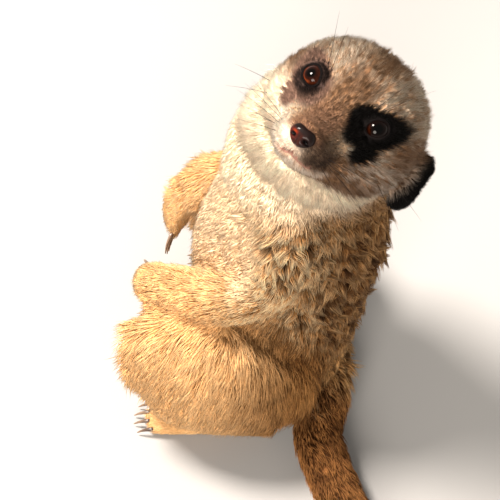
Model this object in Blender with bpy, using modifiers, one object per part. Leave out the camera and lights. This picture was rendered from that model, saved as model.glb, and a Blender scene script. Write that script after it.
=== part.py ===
"""A meerkat that sits upright on its haunches, head turned back over its left shoulder and raised.

The animal faces -Y, its left side is +X and up is +Z.  The origin is on the floor, on the flat
under the rump.  The body is shaped whole from tapered masses, melted into one skin, levelled on
the floor and then parted with thin cuts into the parts that a person would name.
All dimensions below are millimetres; MM turns them into metres.
"""

import math

import bmesh
import bpy
from mathutils import Matrix, Vector

MM = 0.001
GAP = 0.3                      # clearance between neighbouring parts
RING_SIDES = 28                # points round a lofted section
CUTTER_SIDES = 8
CUTTER_EGG_SEGMENTS = 12
STEPS_PER_SPAN = 4             # sections between two given ones
MELT_SIZE = 1.5                # grain of the melted body
SMOOTH_PASSES = 9
BODY_TRIANGLES = 2050          # budget for the whole body before it is parted

# ---------------------------------------------------------------- head
HEAD_ORIGIN = Vector((16.7, -0.7, 221.0))     # midway between the eyes
HEAD_TURN = math.radians(71.0)               # towards the animal's left
HEAD_RAISE = math.radians(43.0)
HEAD_TILT = math.radians(15.0)               # crown towards the raised shoulder
EYE_SPREAD = 15.1
EYE_DEPTH = -0.7
EYE_RADIUS = 5.4
EAR_SPREAD = 32.8
RIGHT_EAR_TUCK = 5.0                         # the right ear lies closer to the head
EAR_FORWARD = -34.0
EAR_HEIGHT = -16.5
EAR_RADII = (7.0, 6.4, 13.8)                 # across, forward, up
EAR_SPLAY = math.radians(20.0)
EAR_HOLLOW = (5.0, -5.0, 1.0)                # outwards, backwards, up from the ear's middle
EAR_HOLLOW_RADII = (5.6, 5.0, 9.5)
NOSE_REACH = 28.2
NOSE_HEIGHT = -8.8
NOSE_RADII = (5.4, 4.2, 4.4)

# forward, centre height, half width, half height above, half height below
HEAD_SECTIONS = (
    (-49.0, -14.0, 21.0, 22.0, 21.0),
    (-41.0, -12.0, 27.0, 27.0, 25.0),
    (-30.0, -10.5, 31.0, 30.3, 26.0),
    (-18.0, -10.0, 32.0, 29.8, 25.5),
    (-8.0, -11.0, 30.8, 26.5, 23.5),
    (-1.0, -12.0, 27.2, 21.0, 20.0),
    (6.0, -13.0, 21.0, 14.8, 17.0),
    (13.0, -14.0, 15.4, 11.2, 14.0),
    (20.0, -14.5, 12.0, 9.2, 11.4),
    (26.0, -14.0, 9.8, 7.8, 8.4),
    (29.5, -12.6, 7.4, 5.8, 6.0),
)
ROUND = 2.0                                  # power of a plain oval; more makes it squarer
HEAD_SQUARENESS = 2.25

# ---------------------------------------------------------------- trunk
# x, y, z, half width, half depth behind, half depth in front
TRUNK_SECTIONS = (
    (0.0, -4.0, -3.0, 22.0, 20.0, 24.0),
    (0.0, -12.0, 16.0, 34.0, 22.0, 30.0),
    (0.0, -14.0, 44.0, 37.5, 28.0, 42.0),
    (0.0, -14.5, 78.0, 37.0, 32.5, 48.0),
    (0.0, -14.0, 112.0, 34.5, 37.0, 44.5),
    (0.0, -14.0, 142.0, 32.5, 35.0, 36.5),
    (1.0, -10.0, 166.0, 30.5, 32.0, 37.0),
    (4.0, -5.0, 186.0, 28.0, 28.0, 35.5),
    (6.0, 0.0, 200.0, 24.0, 24.0, 29.0),
)

# ---------------------------------------------------------------- tail
# x, y, z, half width, half height above, half height below
TAIL_SECTIONS = (
    (-10.0, -12.0, 24.0, 14.0, 14.0, 14.0),
    (6.0, -3.0, 19.0, 15.5, 16.0, 20.5),
    (25.0, 3.0, 13.5, 13.2, 12.8, 15.0),
    (45.0, 5.5, 11.3, 11.8, 11.4, 12.8),
    (70.0, 19.0, 10.3, 11.2, 10.8, 11.5),
    (94.0, 39.0, 9.2, 10.2, 9.8, 10.4),
    (114.0, 63.0, 7.8, 8.8, 8.4, 9.0),
    (127.0, 89.0, 6.4, 7.2, 6.8, 7.4),
    (133.0, 114.0, 4.6, 5.0, 4.8, 5.4),
    (134.0, 124.0, 3.4, 2.6, 2.6, 3.8),
)
TAIL_NAMES = ("tail_base", "tail_middle", "tail_end", "tail_tip")
TAIL_ROOT_SHARE = 0.22                       # share of the tail's run that stays in the rump
TAIL_CUTS = (0.47, 0.66, 0.84)               # share of the run where the tail is parted

# ---------------------------------------------------------------- limbs, as on the left side
# x, y, z, half width, half thickness
ARM_SECTIONS = (
    (12.0, -14.0, 164.0, 13.0, 14.0),
    (22.5, -17.0, 144.0, 16.5, 16.0),
    (30.0, -20.0, 122.0, 14.0, 13.0),
    (34.5, -28.0, 106.0, 11.5, 11.5),
    (34.5, -45.0, 96.5, 11.5, 13.6),
    (29.0, -63.5, 90.0, 10.6, 12.2),
)
PAW_SECTIONS = (
    (29.0, -63.5, 90.0, 10.6, 12.2),
    (25.5, -71.5, 86.0, 9.6, 9.6),
    (21.5, -76.0, 80.5, 8.6, 7.2),
    (17.5, -77.5, 75.0, 7.8, 5.6),
)
THIGH_SECTIONS = (
    (22.0, -8.0, 35.0, 22.0, 25.0),
    (35.0, -26.0, 41.0, 25.0, 32.0),
    (41.5, -47.0, 50.0, 24.5, 36.5),
    (42.5, -66.0, 56.5, 18.5, 31.5),
    (42.5, -82.0, 56.0, 12.5, 19.0),
)
SHANK_SECTIONS = (
    (41.0, -68.0, 38.0, 14.0, 15.0),
    (40.0, -52.0, 24.0, 12.0, 11.0),
    (39.0, -34.0, 13.0, 9.5, 8.5),
    (38.0, -20.0, 8.0, 7.5, 7.5),
)
FOOT_SECTIONS = (
    (38.0, -14.0, 6.0, 6.5, 7.0),
    (39.0, -28.0, 6.0, 7.8, 7.0),
    (41.0, -46.0, 5.6, 8.6, 6.4),
    (43.5, -60.0, 5.0, 9.2, 5.6),
    (44.5, -66.0, 4.6, 8.8, 4.8),
)
RIGHT_WRIST_DROP = 7.5                       # the right wrist hangs lower
RIGHT_PAW_TUCK = 6.0                         # and its fingers point further back
RIGHT_KNEE_BACK = 11.0                       # the right knee is held further back
FOOT_FOLLOWS_KNEE = 0.6                      # share of that by which the foot is further back
TOES = 4
FRONT_TOE_RADIUS = 3.1
HIND_TOE_RADIUS = 3.5
FRONT_TOE_SPACING = 3.7
HIND_TOE_SPACING = 4.4
FLAT_ANGLE = math.radians(0.2)               # faces closer than this count as one flat
CLAW_SIDES = 6
CLAW_STEPS = 3
CLAW_CURL = math.radians(50.0)
CLAW_TAPER = 0.78                            # share of its girth that a claw loses to its tip
CLAW_NARROWNESS = 0.8                        # width over height
CLAW_SET_FORWARD = 0.8                       # where a claw leaves its toe, in toe radii
CLAW_SET_UP = 0.25
TOE_LEAD = 0.5                               # how far the middle toes run ahead, in toe radii
TOE_SHAPE = (0.82, 1.9, 1.0)                 # across, along, up, in toe radii
FRONT_CLAW = (10.0, 1.3)                     # length, radius at the root
HIND_CLAW = (8.5, 1.5)
FLOOR_SIZE = 600.0
SHARP_ANGLE = math.radians(50.0)


# ---------------------------------------------------------------- where the body is parted
# name, a point of the cut, the side that is taken off, reach of the cut
UPPER_CUTS = (
    ("head", (8.0, -5.0, 179.0), (0.33, 0.22, 0.92), 130.0),
    ("neck", (0.0, -12.0, 154.0), (0.0, -0.1, 1.0), 110.0),
)
TRUNK_CUTS = (("chest", 112.0), ("belly", 64.0))
TRUNK_CUT_SIZE = 300.0
SLEEVE_SWELL = 2.5                           # how far a cut's sleeve stands off the limb
WRIST_SWELL = 4.0
TAIL_TIP_REACH = 12.0                        # how far a sleeve runs on, to take in the end
PAW_TIP_REACH = 12.0
FOOT_TIP_REACH = 14.0
UPPER_ARM_CENTRE = (41.0, -22.0, 124.0)
UPPER_ARM_RADII = (16.0, 25.0, 29.0)
THIGH_CENTRE = (46.0, -38.0, 46.0)
THIGH_RADII = (30.0, 60.0, 49.0)

ACROSS = Vector((1.0, 0.0, 0.0))
DOWN = Vector((0.0, 0.0, -1.0))
PALM_SIDE = Vector((0.0, 0.5, -1.0)).normalized()
SIDES = ((1, "left"), (-1, "right"))
BODY_COLLECTION = "meerkat"
CUTTER_COLLECTION = "cutters"
GAP_COLLECTION = "cutter_gaps"


# ---------------------------------------------------------------- scene housekeeping
def clear_scene():
    for obj in list(bpy.data.objects):
        bpy.data.objects.remove(obj, do_unlink=True)


def new_collection(name):
    collection = bpy.data.collections.new(name)
    bpy.context.scene.collection.children.link(collection)
    return collection


def new_material(name, colour, roughness):
    material = bpy.data.materials.new(name)
    material.use_nodes = True
    shader = material.node_tree.nodes["Principled BSDF"]
    shader.inputs["Base Color"].default_value = (*colour, 1.0)
    shader.inputs["Roughness"].default_value = roughness
    shader.inputs["Metallic"].default_value = 0.0
    return material


def object_from_bmesh(name, shape, collection):
    bmesh.ops.recalc_face_normals(shape, faces=shape.faces)
    mesh = bpy.data.meshes.new(name)
    shape.to_mesh(mesh)
    shape.free()
    obj = bpy.data.objects.new(name, mesh)
    collection.objects.link(obj)
    return obj


def as_cutter(obj):
    obj.hide_render = True
    obj.display_type = "WIRE"
    return obj


# ---------------------------------------------------------------- lofted masses
def catmull_rom(before, start, end, after, t):
    """One number on the smooth curve from start to end."""
    slope_start = (end - before) / 2.0
    slope_end = (after - start) / 2.0
    rise = end - start
    a = slope_start + slope_end - 2.0 * rise
    b = 3.0 * rise - 2.0 * slope_start - slope_end
    return ((a * t + b) * t + slope_start) * t + start


def smooth_sections(sections, steps=STEPS_PER_SPAN):
    """The given sections with further ones between them on a smooth run."""
    rows = [sections[0], *sections, sections[-1]]
    result = []
    for i in range(1, len(rows) - 2):
        for step in range(steps):
            span = zip(rows[i - 1], rows[i], rows[i + 1], rows[i + 2])
            result.append(tuple(catmull_rom(*four, step / steps) for four in span))
    result.append(tuple(sections[-1]))
    return result


def ring(centre, side, up, half_width, half_up, half_down, squareness, sides=RING_SIDES):
    """Points of one section: an oval that may be squarer, and deeper below than above."""
    points = []
    power = 2.0 / squareness
    for i in range(sides):
        angle = 2.0 * math.pi * i / sides
        across = math.copysign(abs(math.cos(angle)) ** power, math.cos(angle))
        rise = math.copysign(abs(math.sin(angle)) ** power, math.sin(angle))
        height = half_up if rise > 0.0 else half_down
        points.append(centre + side * (across * half_width) + up * (rise * height))
    return points


def loft(name, rings, collection):
    """A closed body through the rings, closed at both ends with a shallow cone."""
    shape = bmesh.new()
    rows = [[shape.verts.new(point * MM) for point in points] for points in rings]
    count = len(rows[0])
    for near, far in zip(rows, rows[1:]):
        for i in range(count):
            j = (i + 1) % count
            shape.faces.new((near[i], near[j], far[j]))
            shape.faces.new((near[i], far[j], far[i]))
    for row in (rows[0], rows[-1]):
        middle = sum((vert.co for vert in row), Vector()) / count
        pole = shape.verts.new(middle)
        for i in range(count):
            shape.faces.new((row[i], row[(i + 1) % count], pole))
    return object_from_bmesh(name, shape, collection)


def run_rings(rows, across=None, swell=0.0, lengthen=0.0, sides=RING_SIDES):
    """Rings square to the run of their centres.

    Widths are measured along the direction across, or level where none is given.  Swell makes
    every section fatter, and lengthen moves both ends out along the run.
    """
    centres = [Vector(row[:3]) for row in rows]
    last = len(rows) - 1
    rings = []
    for i, row in enumerate(rows):
        along = (centres[min(i + 1, last)] - centres[max(i - 1, 0)]).normalized()
        hint = across or Vector((0, 0, 1)).cross(along)
        side = (hint - along * hint.dot(along)).normalized()
        up = along.cross(side)
        move = -lengthen if i == 0 else lengthen if i == last else 0.0
        sizes = (row[3] + swell, row[4] + swell, row[-1] + swell)
        rings.append(ring(centres[i] + along * move, side, up, *sizes, ROUND, sides))
    return rings


def mirrored(sections, side, shift_back=0.0):
    """Left-side sections put on the given side, the far end moved back by shift_back."""
    last = len(sections) - 1
    return [
        (row[0] * side, row[1] + shift_back * i / last, *row[2:])
        for i, row in enumerate(sections)
    ]


# ---------------------------------------------------------------- head frame
def head_axes():
    """The head's left, forward and up directions in the world."""
    turn = Matrix.Rotation(HEAD_TURN, 3, "Z")
    lift = Matrix.Rotation(-HEAD_RAISE, 3, "X")
    tilt = Matrix.Rotation(HEAD_TILT, 3, "Y")
    spin = turn @ lift @ tilt
    return spin @ Vector((1, 0, 0)), spin @ Vector((0, -1, 0)), spin @ Vector((0, 0, 1))


def head_point(left, forward, up):
    left_axis, forward_axis, up_axis = head_axes()
    return HEAD_ORIGIN + left_axis * left + forward_axis * forward + up_axis * up


def head_rings():
    left_axis, _, up_axis = head_axes()
    rings = []
    for forward, height, width, above, below in smooth_sections(HEAD_SECTIONS):
        centre = head_point(0.0, forward, height)
        rings.append(ring(centre, left_axis, up_axis, width, above, below, HEAD_SQUARENESS))
    return rings


# ---------------------------------------------------------------- small shapes
def egg(name, centre, radii, spin, collection, segments=20):
    """An ellipsoid; radii run along the three columns of spin."""
    shape = bmesh.new()
    bmesh.ops.create_uvsphere(shape, u_segments=segments, v_segments=segments // 2, radius=1.0)
    stretch = Matrix.Diagonal([radius * MM for radius in radii]).to_4x4()
    place = Matrix.Translation(centre * MM) @ spin.to_4x4() @ stretch
    bmesh.ops.transform(shape, matrix=place, verts=shape.verts)
    return object_from_bmesh(name, shape, collection)


def head_spin():
    return Matrix(head_axes()).transposed()


def box_beyond(name, point, normal, size, collection):
    """A cube that fills the space on the far side of a plane."""
    shape = bmesh.new()
    bmesh.ops.create_cube(shape, size=size * MM)
    turn = normal.to_track_quat("Z", "Y").to_matrix().to_4x4()
    place = Matrix.Translation((point + normal * size / 2.0) * MM) @ turn
    bmesh.ops.transform(shape, matrix=place, verts=shape.verts)
    return object_from_bmesh(name, shape, collection)


# ---------------------------------------------------------------- joining and cutting
def settle(obj):
    """Replaces the object's mesh with what its modifiers make of it."""
    depsgraph = bpy.context.evaluated_depsgraph_get()
    finished = bpy.data.meshes.new_from_object(obj.evaluated_get(depsgraph))
    obj.modifiers.clear()
    old = obj.data
    obj.data = finished
    bpy.data.meshes.remove(old)


def boolean(obj, cutter, operation):
    """Cuts with one object, or with everything in a collection at once."""
    modifier = obj.modifiers.new(operation.lower(), "BOOLEAN")
    modifier.operation = operation
    modifier.solver = "EXACT"
    if isinstance(cutter, bpy.types.Collection):
        modifier.operand_type = "COLLECTION"
        modifier.collection = cutter
    else:
        modifier.object = cutter
    settle(obj)
    edit(obj, into_triangles)


def edit(obj, change):
    """Makes one change to the object's mesh."""
    shape = bmesh.new()
    shape.from_mesh(obj.data)
    change(shape)
    shape.to_mesh(obj.data)
    shape.free()


def into_triangles(shape):
    bmesh.ops.triangulate(shape, faces=shape.faces)


def merge_flats(shape):
    """Joins the splinters that a cut leaves in one flat face."""
    geometry = {"verts": shape.verts, "edges": shape.edges}
    bmesh.ops.dissolve_limit(shape, angle_limit=FLAT_ANGLE, use_dissolve_boundaries=False, **geometry)


def drop_scraps(shape):
    """Keeps the largest loose body: a curved cut can leave thin scraps beside it."""
    unseen = set(shape.verts)
    bodies = []
    while unseen:
        front = [unseen.pop()]
        body = set(front)
        while front:
            vert = front.pop()
            for edge in vert.link_edges:
                other = edge.other_vert(vert)
                if other in unseen:
                    unseen.remove(other)
                    body.add(other)
                    front.append(other)
        bodies.append(body)
    bodies.sort(key=len)
    for body in bodies[:-1]:
        bmesh.ops.delete(shape, geom=list(body), context="VERTS")


def part_off(body, name, region, bin_of):
    """A copy of what the body has in the region, less what earlier parts took with their gaps."""
    piece = bpy.data.objects.new(name, body.data.copy())
    bin_of["parts"].objects.link(piece)
    boolean(piece, as_cutter(region), "INTERSECT")
    if bin_of["gaps"].objects:
        boolean(piece, bin_of["gaps"], "DIFFERENCE")
    edit(piece, drop_scraps)
    return piece


# ---------------------------------------------------------------- flesh masses
def limb_direction(sections):
    """The way the end of a limb points."""
    return (Vector(sections[-1][:3]) - Vector(sections[-2][:3])).normalized()


def toe_places(sections, spacing, reach):
    """Roots and direction of the four toes, the middle two a little ahead."""
    along = limb_direction(sections)
    side = (Vector((1, 0, 0)) - along * along.x).normalized()
    end = Vector(sections[-1][:3])
    places = []
    for i in range(TOES):
        offset = i - (TOES - 1) / 2.0
        lead = reach if abs(offset) < 1.0 else 0.0
        places.append(end + side * (offset * spacing) + along * lead)
    return places, along, side


def toe_masses(name, sections, radius, spacing, collection):
    places, along, side = toe_places(sections, spacing, radius * TOE_LEAD)
    spin = Matrix((side, along, side.cross(along))).transposed()
    radii = [radius * share for share in TOE_SHAPE]
    return [
        egg(f"{name}_{i + 1}", place, radii, spin, collection, 12)
        for i, place in enumerate(places)
    ]


def limb_sections(side):
    """Every limb's sections on one side; the right ones hang lower or are drawn back."""
    drop = RIGHT_WRIST_DROP if side < 0 else 0.0
    back = RIGHT_KNEE_BACK if side < 0 else 0.0
    last = len(ARM_SECTIONS) - 1
    arm = [
        (row[0] * side, row[1], row[2] - drop * (i / last) ** 2, *row[3:])
        for i, row in enumerate(ARM_SECTIONS)
    ]
    tuck = RIGHT_PAW_TUCK if side < 0 else 0.0
    tip = len(PAW_SECTIONS) - 1
    paw = [
        (row[0] * side, row[1] + tuck * i / tip, row[2] - drop, *row[3:])
        for i, row in enumerate(PAW_SECTIONS)
    ]
    foot_back = back * FOOT_FOLLOWS_KNEE
    foot = [(row[0] * side, row[1] + foot_back, *row[2:]) for row in FOOT_SECTIONS]
    return {
        "arm": arm,
        "paw": paw,
        "thigh": mirrored(THIGH_SECTIONS, side, back),
        "shank": mirrored(SHANK_SECTIONS[::-1], side, back)[::-1],
        "foot": foot,
    }


def flesh_masses(collection):
    masses = [
        loft("head_mass", head_rings(), collection),
        loft("trunk_mass", run_rings(smooth_sections(TRUNK_SECTIONS), ACROSS), collection),
        loft("tail_mass", run_rings(smooth_sections(TAIL_SECTIONS)), collection),
    ]
    for side, word in SIDES:
        limbs = limb_sections(side)
        for limb, sections in limbs.items():
            rings = run_rings(smooth_sections(sections), ACROSS)
            masses.append(loft(f"{limb}_mass_{word}", rings, collection))
        masses += toe_masses(f"finger_{word}", limbs["paw"], FRONT_TOE_RADIUS,
                             FRONT_TOE_SPACING, collection)
        masses += toe_masses(f"toe_{word}", limbs["foot"], HIND_TOE_RADIUS,
                             HIND_TOE_SPACING, collection)
    return masses


def melted_body(cutters, collection):
    """All masses as one smooth skin, cut level where it meets the floor."""
    shape = bmesh.new()
    for mass in flesh_masses(cutters):
        shape.from_mesh(mass.data)
        bpy.data.objects.remove(mass, do_unlink=True)
    body = object_from_bmesh("body", shape, collection)
    melt = body.modifiers.new("melt", "REMESH")
    melt.mode = "VOXEL"
    melt.voxel_size = MELT_SIZE * MM
    soften = body.modifiers.new("soften", "SMOOTH")
    soften.iterations = SMOOTH_PASSES
    settle(body)
    thin = body.modifiers.new("thin", "DECIMATE")
    thin.ratio = BODY_TRIANGLES / (2.0 * len(body.data.polygons))
    settle(body)
    floor = box_beyond("floor_level", Vector((0, 0, 0)), DOWN, FLOOR_SIZE, cutters)
    boolean(body, as_cutter(floor), "DIFFERENCE")
    return body


# ---------------------------------------------------------------- parting the body
def plane_cut(body, name, point, normal, size, bin_of):
    region = box_beyond(f"{name}_region", point, normal, size, bin_of["cutters"])
    piece = part_off(body, name, region, bin_of)
    as_cutter(box_beyond(f"{name}_gap", point - normal * GAP, normal, size, bin_of["gaps"]))
    return piece


def egg_cut(body, name, centre, radii, bin_of):
    level = Matrix.Identity(3)
    wider = [radius + GAP for radius in radii]
    region = egg(f"{name}_region", centre, radii, level, bin_of["cutters"], CUTTER_EGG_SEGMENTS)
    piece = part_off(body, name, region, bin_of)
    as_cutter(egg(f"{name}_gap", centre, wider, level, bin_of["gaps"], CUTTER_EGG_SEGMENTS))
    return piece


def sleeve_cut(body, name, rows, across, swell, bin_of):
    region_rings = run_rings(rows, across, swell, 0.0, CUTTER_SIDES)
    grown_rings = run_rings(rows, across, swell + GAP, GAP, CUTTER_SIDES)
    piece = part_off(body, name, loft(f"{name}_region", region_rings, bin_of["cutters"]), bin_of)
    as_cutter(loft(f"{name}_gap", grown_rings, bin_of["gaps"]))
    return piece


def with_tip(sections, reach):
    """The sections with one more beyond the end, to take in the toes."""
    end = Vector(sections[-1][:3]) + limb_direction(sections) * reach
    return [*sections, (*end, *sections[-1][3:])]


def cut_tail(body, bin_of):
    """From the tip inwards, so that each length is what is left beyond its cut."""
    rows = with_tip(smooth_sections(TAIL_SECTIONS), TAIL_TIP_REACH)
    starts = [TAIL_ROOT_SHARE, *TAIL_CUTS]
    pieces = []
    for name, share in reversed(list(zip(TAIL_NAMES, starts))):
        first = int(share * (len(rows) - 2))
        pieces.append(sleeve_cut(body, name, rows[first:], None, SLEEVE_SWELL, bin_of))
    return pieces


def cut_limbs(body, side, word, bin_of):
    limbs = limb_sections(side)
    back = RIGHT_KNEE_BACK if side < 0 else 0.0
    upper_arm_centre = Vector((UPPER_ARM_CENTRE[0] * side, *UPPER_ARM_CENTRE[1:]))
    thigh_centre = Vector((THIGH_CENTRE[0] * side, THIGH_CENTRE[1] + back / 2.0, THIGH_CENTRE[2]))
    sleeves = (
        ("forepaw", with_tip(limbs["paw"], PAW_TIP_REACH)[1:], WRIST_SWELL),
        ("forearm", [*limbs["arm"][2:], limbs["paw"][1]], WRIST_SWELL),
        ("hind_foot", with_tip(limbs["foot"], FOOT_TIP_REACH), SLEEVE_SWELL),
        ("shank", smooth_sections(limbs["shank"], 2), SLEEVE_SWELL),
    )
    pieces = [
        sleeve_cut(body, f"{name}_{word}", rows, ACROSS, swell, bin_of)
        for name, rows, swell in sleeves
    ]
    eggs = (
        ("upper_arm", upper_arm_centre, UPPER_ARM_RADII),
        ("thigh", thigh_centre, THIGH_RADII),
    )
    pieces += [
        egg_cut(body, f"{name}_{word}", centre, radii, bin_of)
        for name, centre, radii in eggs
    ]
    return pieces


def part_body(body, bin_of):
    """Every part is cut from the whole body; the pelvis is what the others leave."""
    pieces = []
    for name, point, normal, size in UPPER_CUTS:
        place = (Vector(point), Vector(normal).normalized(), size)
        pieces.append(plane_cut(body, name, *place, bin_of))
    pieces += cut_tail(body, bin_of)
    for side, word in SIDES:
        pieces += cut_limbs(body, side, word, bin_of)
    for name, height in TRUNK_CUTS:
        place = (Vector((0, 0, height)), Vector((0, 0, 1)), TRUNK_CUT_SIZE)
        pieces.append(plane_cut(body, name, *place, bin_of))
    boolean(body, bin_of["gaps"], "DIFFERENCE")
    edit(body, drop_scraps)
    body.name = "pelvis"
    pieces.append(body)
    return {piece.name: piece for piece in pieces}


# ---------------------------------------------------------------- eyes, nose, ears and claws
def set_in(hosts, piece, grown):
    """A pocket in each host for the piece, with a clearance all round."""
    for host in hosts:
        boolean(host, as_cutter(grown), "DIFFERENCE")
        edit(host, drop_scraps)
    return piece


def set_egg(hosts, name, centre, radii, spin, cutters, collection, segments=14):
    wider = [radius + GAP for radius in radii]
    piece = egg(name, centre, radii, spin, collection, segments)
    return set_in(hosts, piece, egg(f"{name}_gap", centre, wider, spin, cutters, segments))


def add_eyes(head, cutters, collection):
    radii = (EYE_RADIUS, EYE_RADIUS, EYE_RADIUS)
    for side, word in SIDES:
        centre = head_point(EYE_SPREAD * side, EYE_DEPTH, 0.0)
        set_egg([head], f"eye_{word}", centre, radii, head_spin(), cutters, collection)


def add_nose(head, cutters, collection):
    centre = head_point(0.0, NOSE_REACH, NOSE_HEIGHT)
    set_egg([head], "nose", centre, NOSE_RADII, head_spin(), cutters, collection)


def add_ears(hosts, cutters, collection):
    """Low half-moon ears, each with a hollow that opens forwards and outwards."""
    for side, word in SIDES:
        turn = Matrix.Rotation(EAR_SPLAY * side, 3, "Z")
        spin = head_spin() @ turn
        spread = EAR_SPREAD - (RIGHT_EAR_TUCK if side < 0 else 0.0)
        centre = head_point(spread * side, EAR_FORWARD, EAR_HEIGHT)
        ear = set_egg(hosts, f"ear_{word}", centre, EAR_RADII, spin, cutters, collection)
        hollow_centre = centre + spin @ Vector((EAR_HOLLOW[0] * side, *EAR_HOLLOW[1:]))
        radii = EAR_HOLLOW_RADII
        hollow = egg(f"hollow_{word}", hollow_centre, radii, spin, cutters, 12)
        boolean(ear, as_cutter(hollow), "DIFFERENCE")


def claw_rings(root, along, down, length, radius, swell=0.0):
    """Sections of one claw, which curves down from its root to a blunt tip."""
    rings = []
    side = along.cross(down)
    for i in range(CLAW_STEPS + 1):
        share = i / CLAW_STEPS
        angle = CLAW_CURL * share
        reach = length / CLAW_CURL
        offset = along * (math.sin(angle) * reach) + down * ((1.0 - math.cos(angle)) * reach)
        heading = along * math.cos(angle) + down * math.sin(angle)
        up = heading.cross(side)
        size = radius * (1.0 - CLAW_TAPER * share) + swell
        lead = -swell if i == 0 else 0.0
        centre = root + offset + heading * lead
        width = size * CLAW_NARROWNESS
        rings.append(ring(centre, side, up, width, size, size, ROUND, CLAW_SIDES))
    return rings


def add_claws(foot, word, sections, down, spec, cutters, collection):
    length, radius, spacing, toe_radius = spec
    places, along, _ = toe_places(sections, spacing, toe_radius * TOE_LEAD)
    aim = (along - down * along.dot(down)).normalized()
    for i, place in enumerate(places):
        root = place + (along * CLAW_SET_FORWARD - down * CLAW_SET_UP) * toe_radius
        rings = claw_rings(root, aim, down, length, radius)
        grown = claw_rings(root, aim, down, length, radius, GAP)
        name = f"claw_{word}_{i + 1}"
        claw = loft(name, rings, collection)
        set_in([foot], claw, loft(f"{name}_gap", grown, cutters))


# ---------------------------------------------------------------- looks
COLOURS = {
    "eye": ((0.09, 0.03, 0.015), 0.08),
    "ear": ((0.02, 0.017, 0.015), 0.8),
    "nose": ((0.22, 0.1, 0.07), 0.35),
    "claw": ((0.12, 0.09, 0.07), 0.4),
    "tail_tip": ((0.05, 0.035, 0.025), 0.85),
    "tail": ((0.5, 0.3, 0.14), 0.85),
    "head": ((0.55, 0.46, 0.34), 0.85),
    "neck": ((0.68, 0.58, 0.45), 0.85),
    "chest": ((0.46, 0.35, 0.24), 0.85),
    "belly": ((0.42, 0.31, 0.2), 0.85),
    "pelvis": ((0.5, 0.34, 0.18), 0.85),
}
LIMB_COLOUR = ((0.7, 0.5, 0.27), 0.85)


def colour_for(name):
    for key, look in COLOURS.items():
        if name.startswith(key):
            return look
    return LIMB_COLOUR


def give_material(obj):
    colour, roughness = colour_for(obj.name)
    obj.data.materials.clear()
    obj.data.materials.append(new_material(f"{obj.name}_finish", colour, roughness))
    obj.data.shade_smooth()
    obj.data.set_sharp_from_angle(angle=SHARP_ANGLE)


def build():
    clear_scene()
    collection = new_collection(BODY_COLLECTION)
    cutters = new_collection(CUTTER_COLLECTION)
    gaps = new_collection(GAP_COLLECTION)
    body = melted_body(cutters, collection)
    parts = part_body(body, {"parts": collection, "cutters": cutters, "gaps": gaps})
    head = parts["head"]
    add_eyes(head, cutters, collection)
    add_nose(head, cutters, collection)
    add_ears([head, parts["neck"]], cutters, collection)
    for side, word in SIDES:
        limbs = limb_sections(side)
        front = (*FRONT_CLAW, FRONT_TOE_SPACING, FRONT_TOE_RADIUS)
        hind = (*HIND_CLAW, HIND_TOE_SPACING, HIND_TOE_RADIUS)
        paw = parts[f"forepaw_{word}"]
        foot = parts[f"hind_foot_{word}"]
        add_claws(paw, f"front_{word}", limbs["paw"], PALM_SIDE, front, cutters, collection)
        add_claws(foot, f"hind_{word}", limbs["foot"], DOWN, hind, cutters, collection)
    for obj in collection.objects:
        edit(obj, merge_flats)
        give_material(obj)


build()
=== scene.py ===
"""The looks of a life-size meerkat that sits upright and looks back over its left shoulder.

One skin replaces all the flesh of the frame and lies under a coat of solid tufts.  Skin and coat
take their markings from the same functions, so both carry the same colours.  Eyes, nose pad,
claws and whiskers are pieces of their own.  Sizes are millimetres unless a name says otherwise.
"""

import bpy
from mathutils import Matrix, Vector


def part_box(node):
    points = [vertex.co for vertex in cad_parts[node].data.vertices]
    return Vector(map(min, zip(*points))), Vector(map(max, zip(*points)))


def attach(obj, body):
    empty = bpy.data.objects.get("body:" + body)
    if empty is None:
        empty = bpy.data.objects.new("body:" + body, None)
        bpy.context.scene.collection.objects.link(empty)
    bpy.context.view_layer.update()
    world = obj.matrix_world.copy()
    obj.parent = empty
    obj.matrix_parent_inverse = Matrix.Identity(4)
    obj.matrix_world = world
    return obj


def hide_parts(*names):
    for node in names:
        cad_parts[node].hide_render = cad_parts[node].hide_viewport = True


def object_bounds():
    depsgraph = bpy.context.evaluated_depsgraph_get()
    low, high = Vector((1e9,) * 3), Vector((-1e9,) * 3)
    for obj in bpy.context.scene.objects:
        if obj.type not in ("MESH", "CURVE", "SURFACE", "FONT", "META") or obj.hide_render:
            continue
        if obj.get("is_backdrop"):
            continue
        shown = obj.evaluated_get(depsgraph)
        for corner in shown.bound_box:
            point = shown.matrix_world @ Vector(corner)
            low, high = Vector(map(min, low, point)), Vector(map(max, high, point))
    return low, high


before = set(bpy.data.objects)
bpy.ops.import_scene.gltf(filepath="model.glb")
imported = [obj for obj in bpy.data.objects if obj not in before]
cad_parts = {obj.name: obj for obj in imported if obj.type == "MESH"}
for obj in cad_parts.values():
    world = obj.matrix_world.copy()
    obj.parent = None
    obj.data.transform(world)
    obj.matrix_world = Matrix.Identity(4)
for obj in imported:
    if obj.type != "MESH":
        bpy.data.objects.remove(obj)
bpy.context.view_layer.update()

import math

import bpy
import numpy as np
from mathutils import Matrix, Vector
from mathutils.bvhtree import BVHTree
from mathutils.kdtree import KDTree

MM = 0.001
SEED = 7
SIDES = ((1.0, "left"), (-1.0, "right"))

TRUNK = ("head", "neck", "chest", "belly", "pelvis")
TAIL = ("tail_base", "tail_middle", "tail_end", "tail_tip")
LIMBS = ("upper_arm", "forearm", "forepaw", "thigh", "shank", "hind_foot", "ear")
FLESH = (*TRUNK, *TAIL, *(f"{limb}_{word}" for limb in LIMBS for _, word in SIDES))

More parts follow.
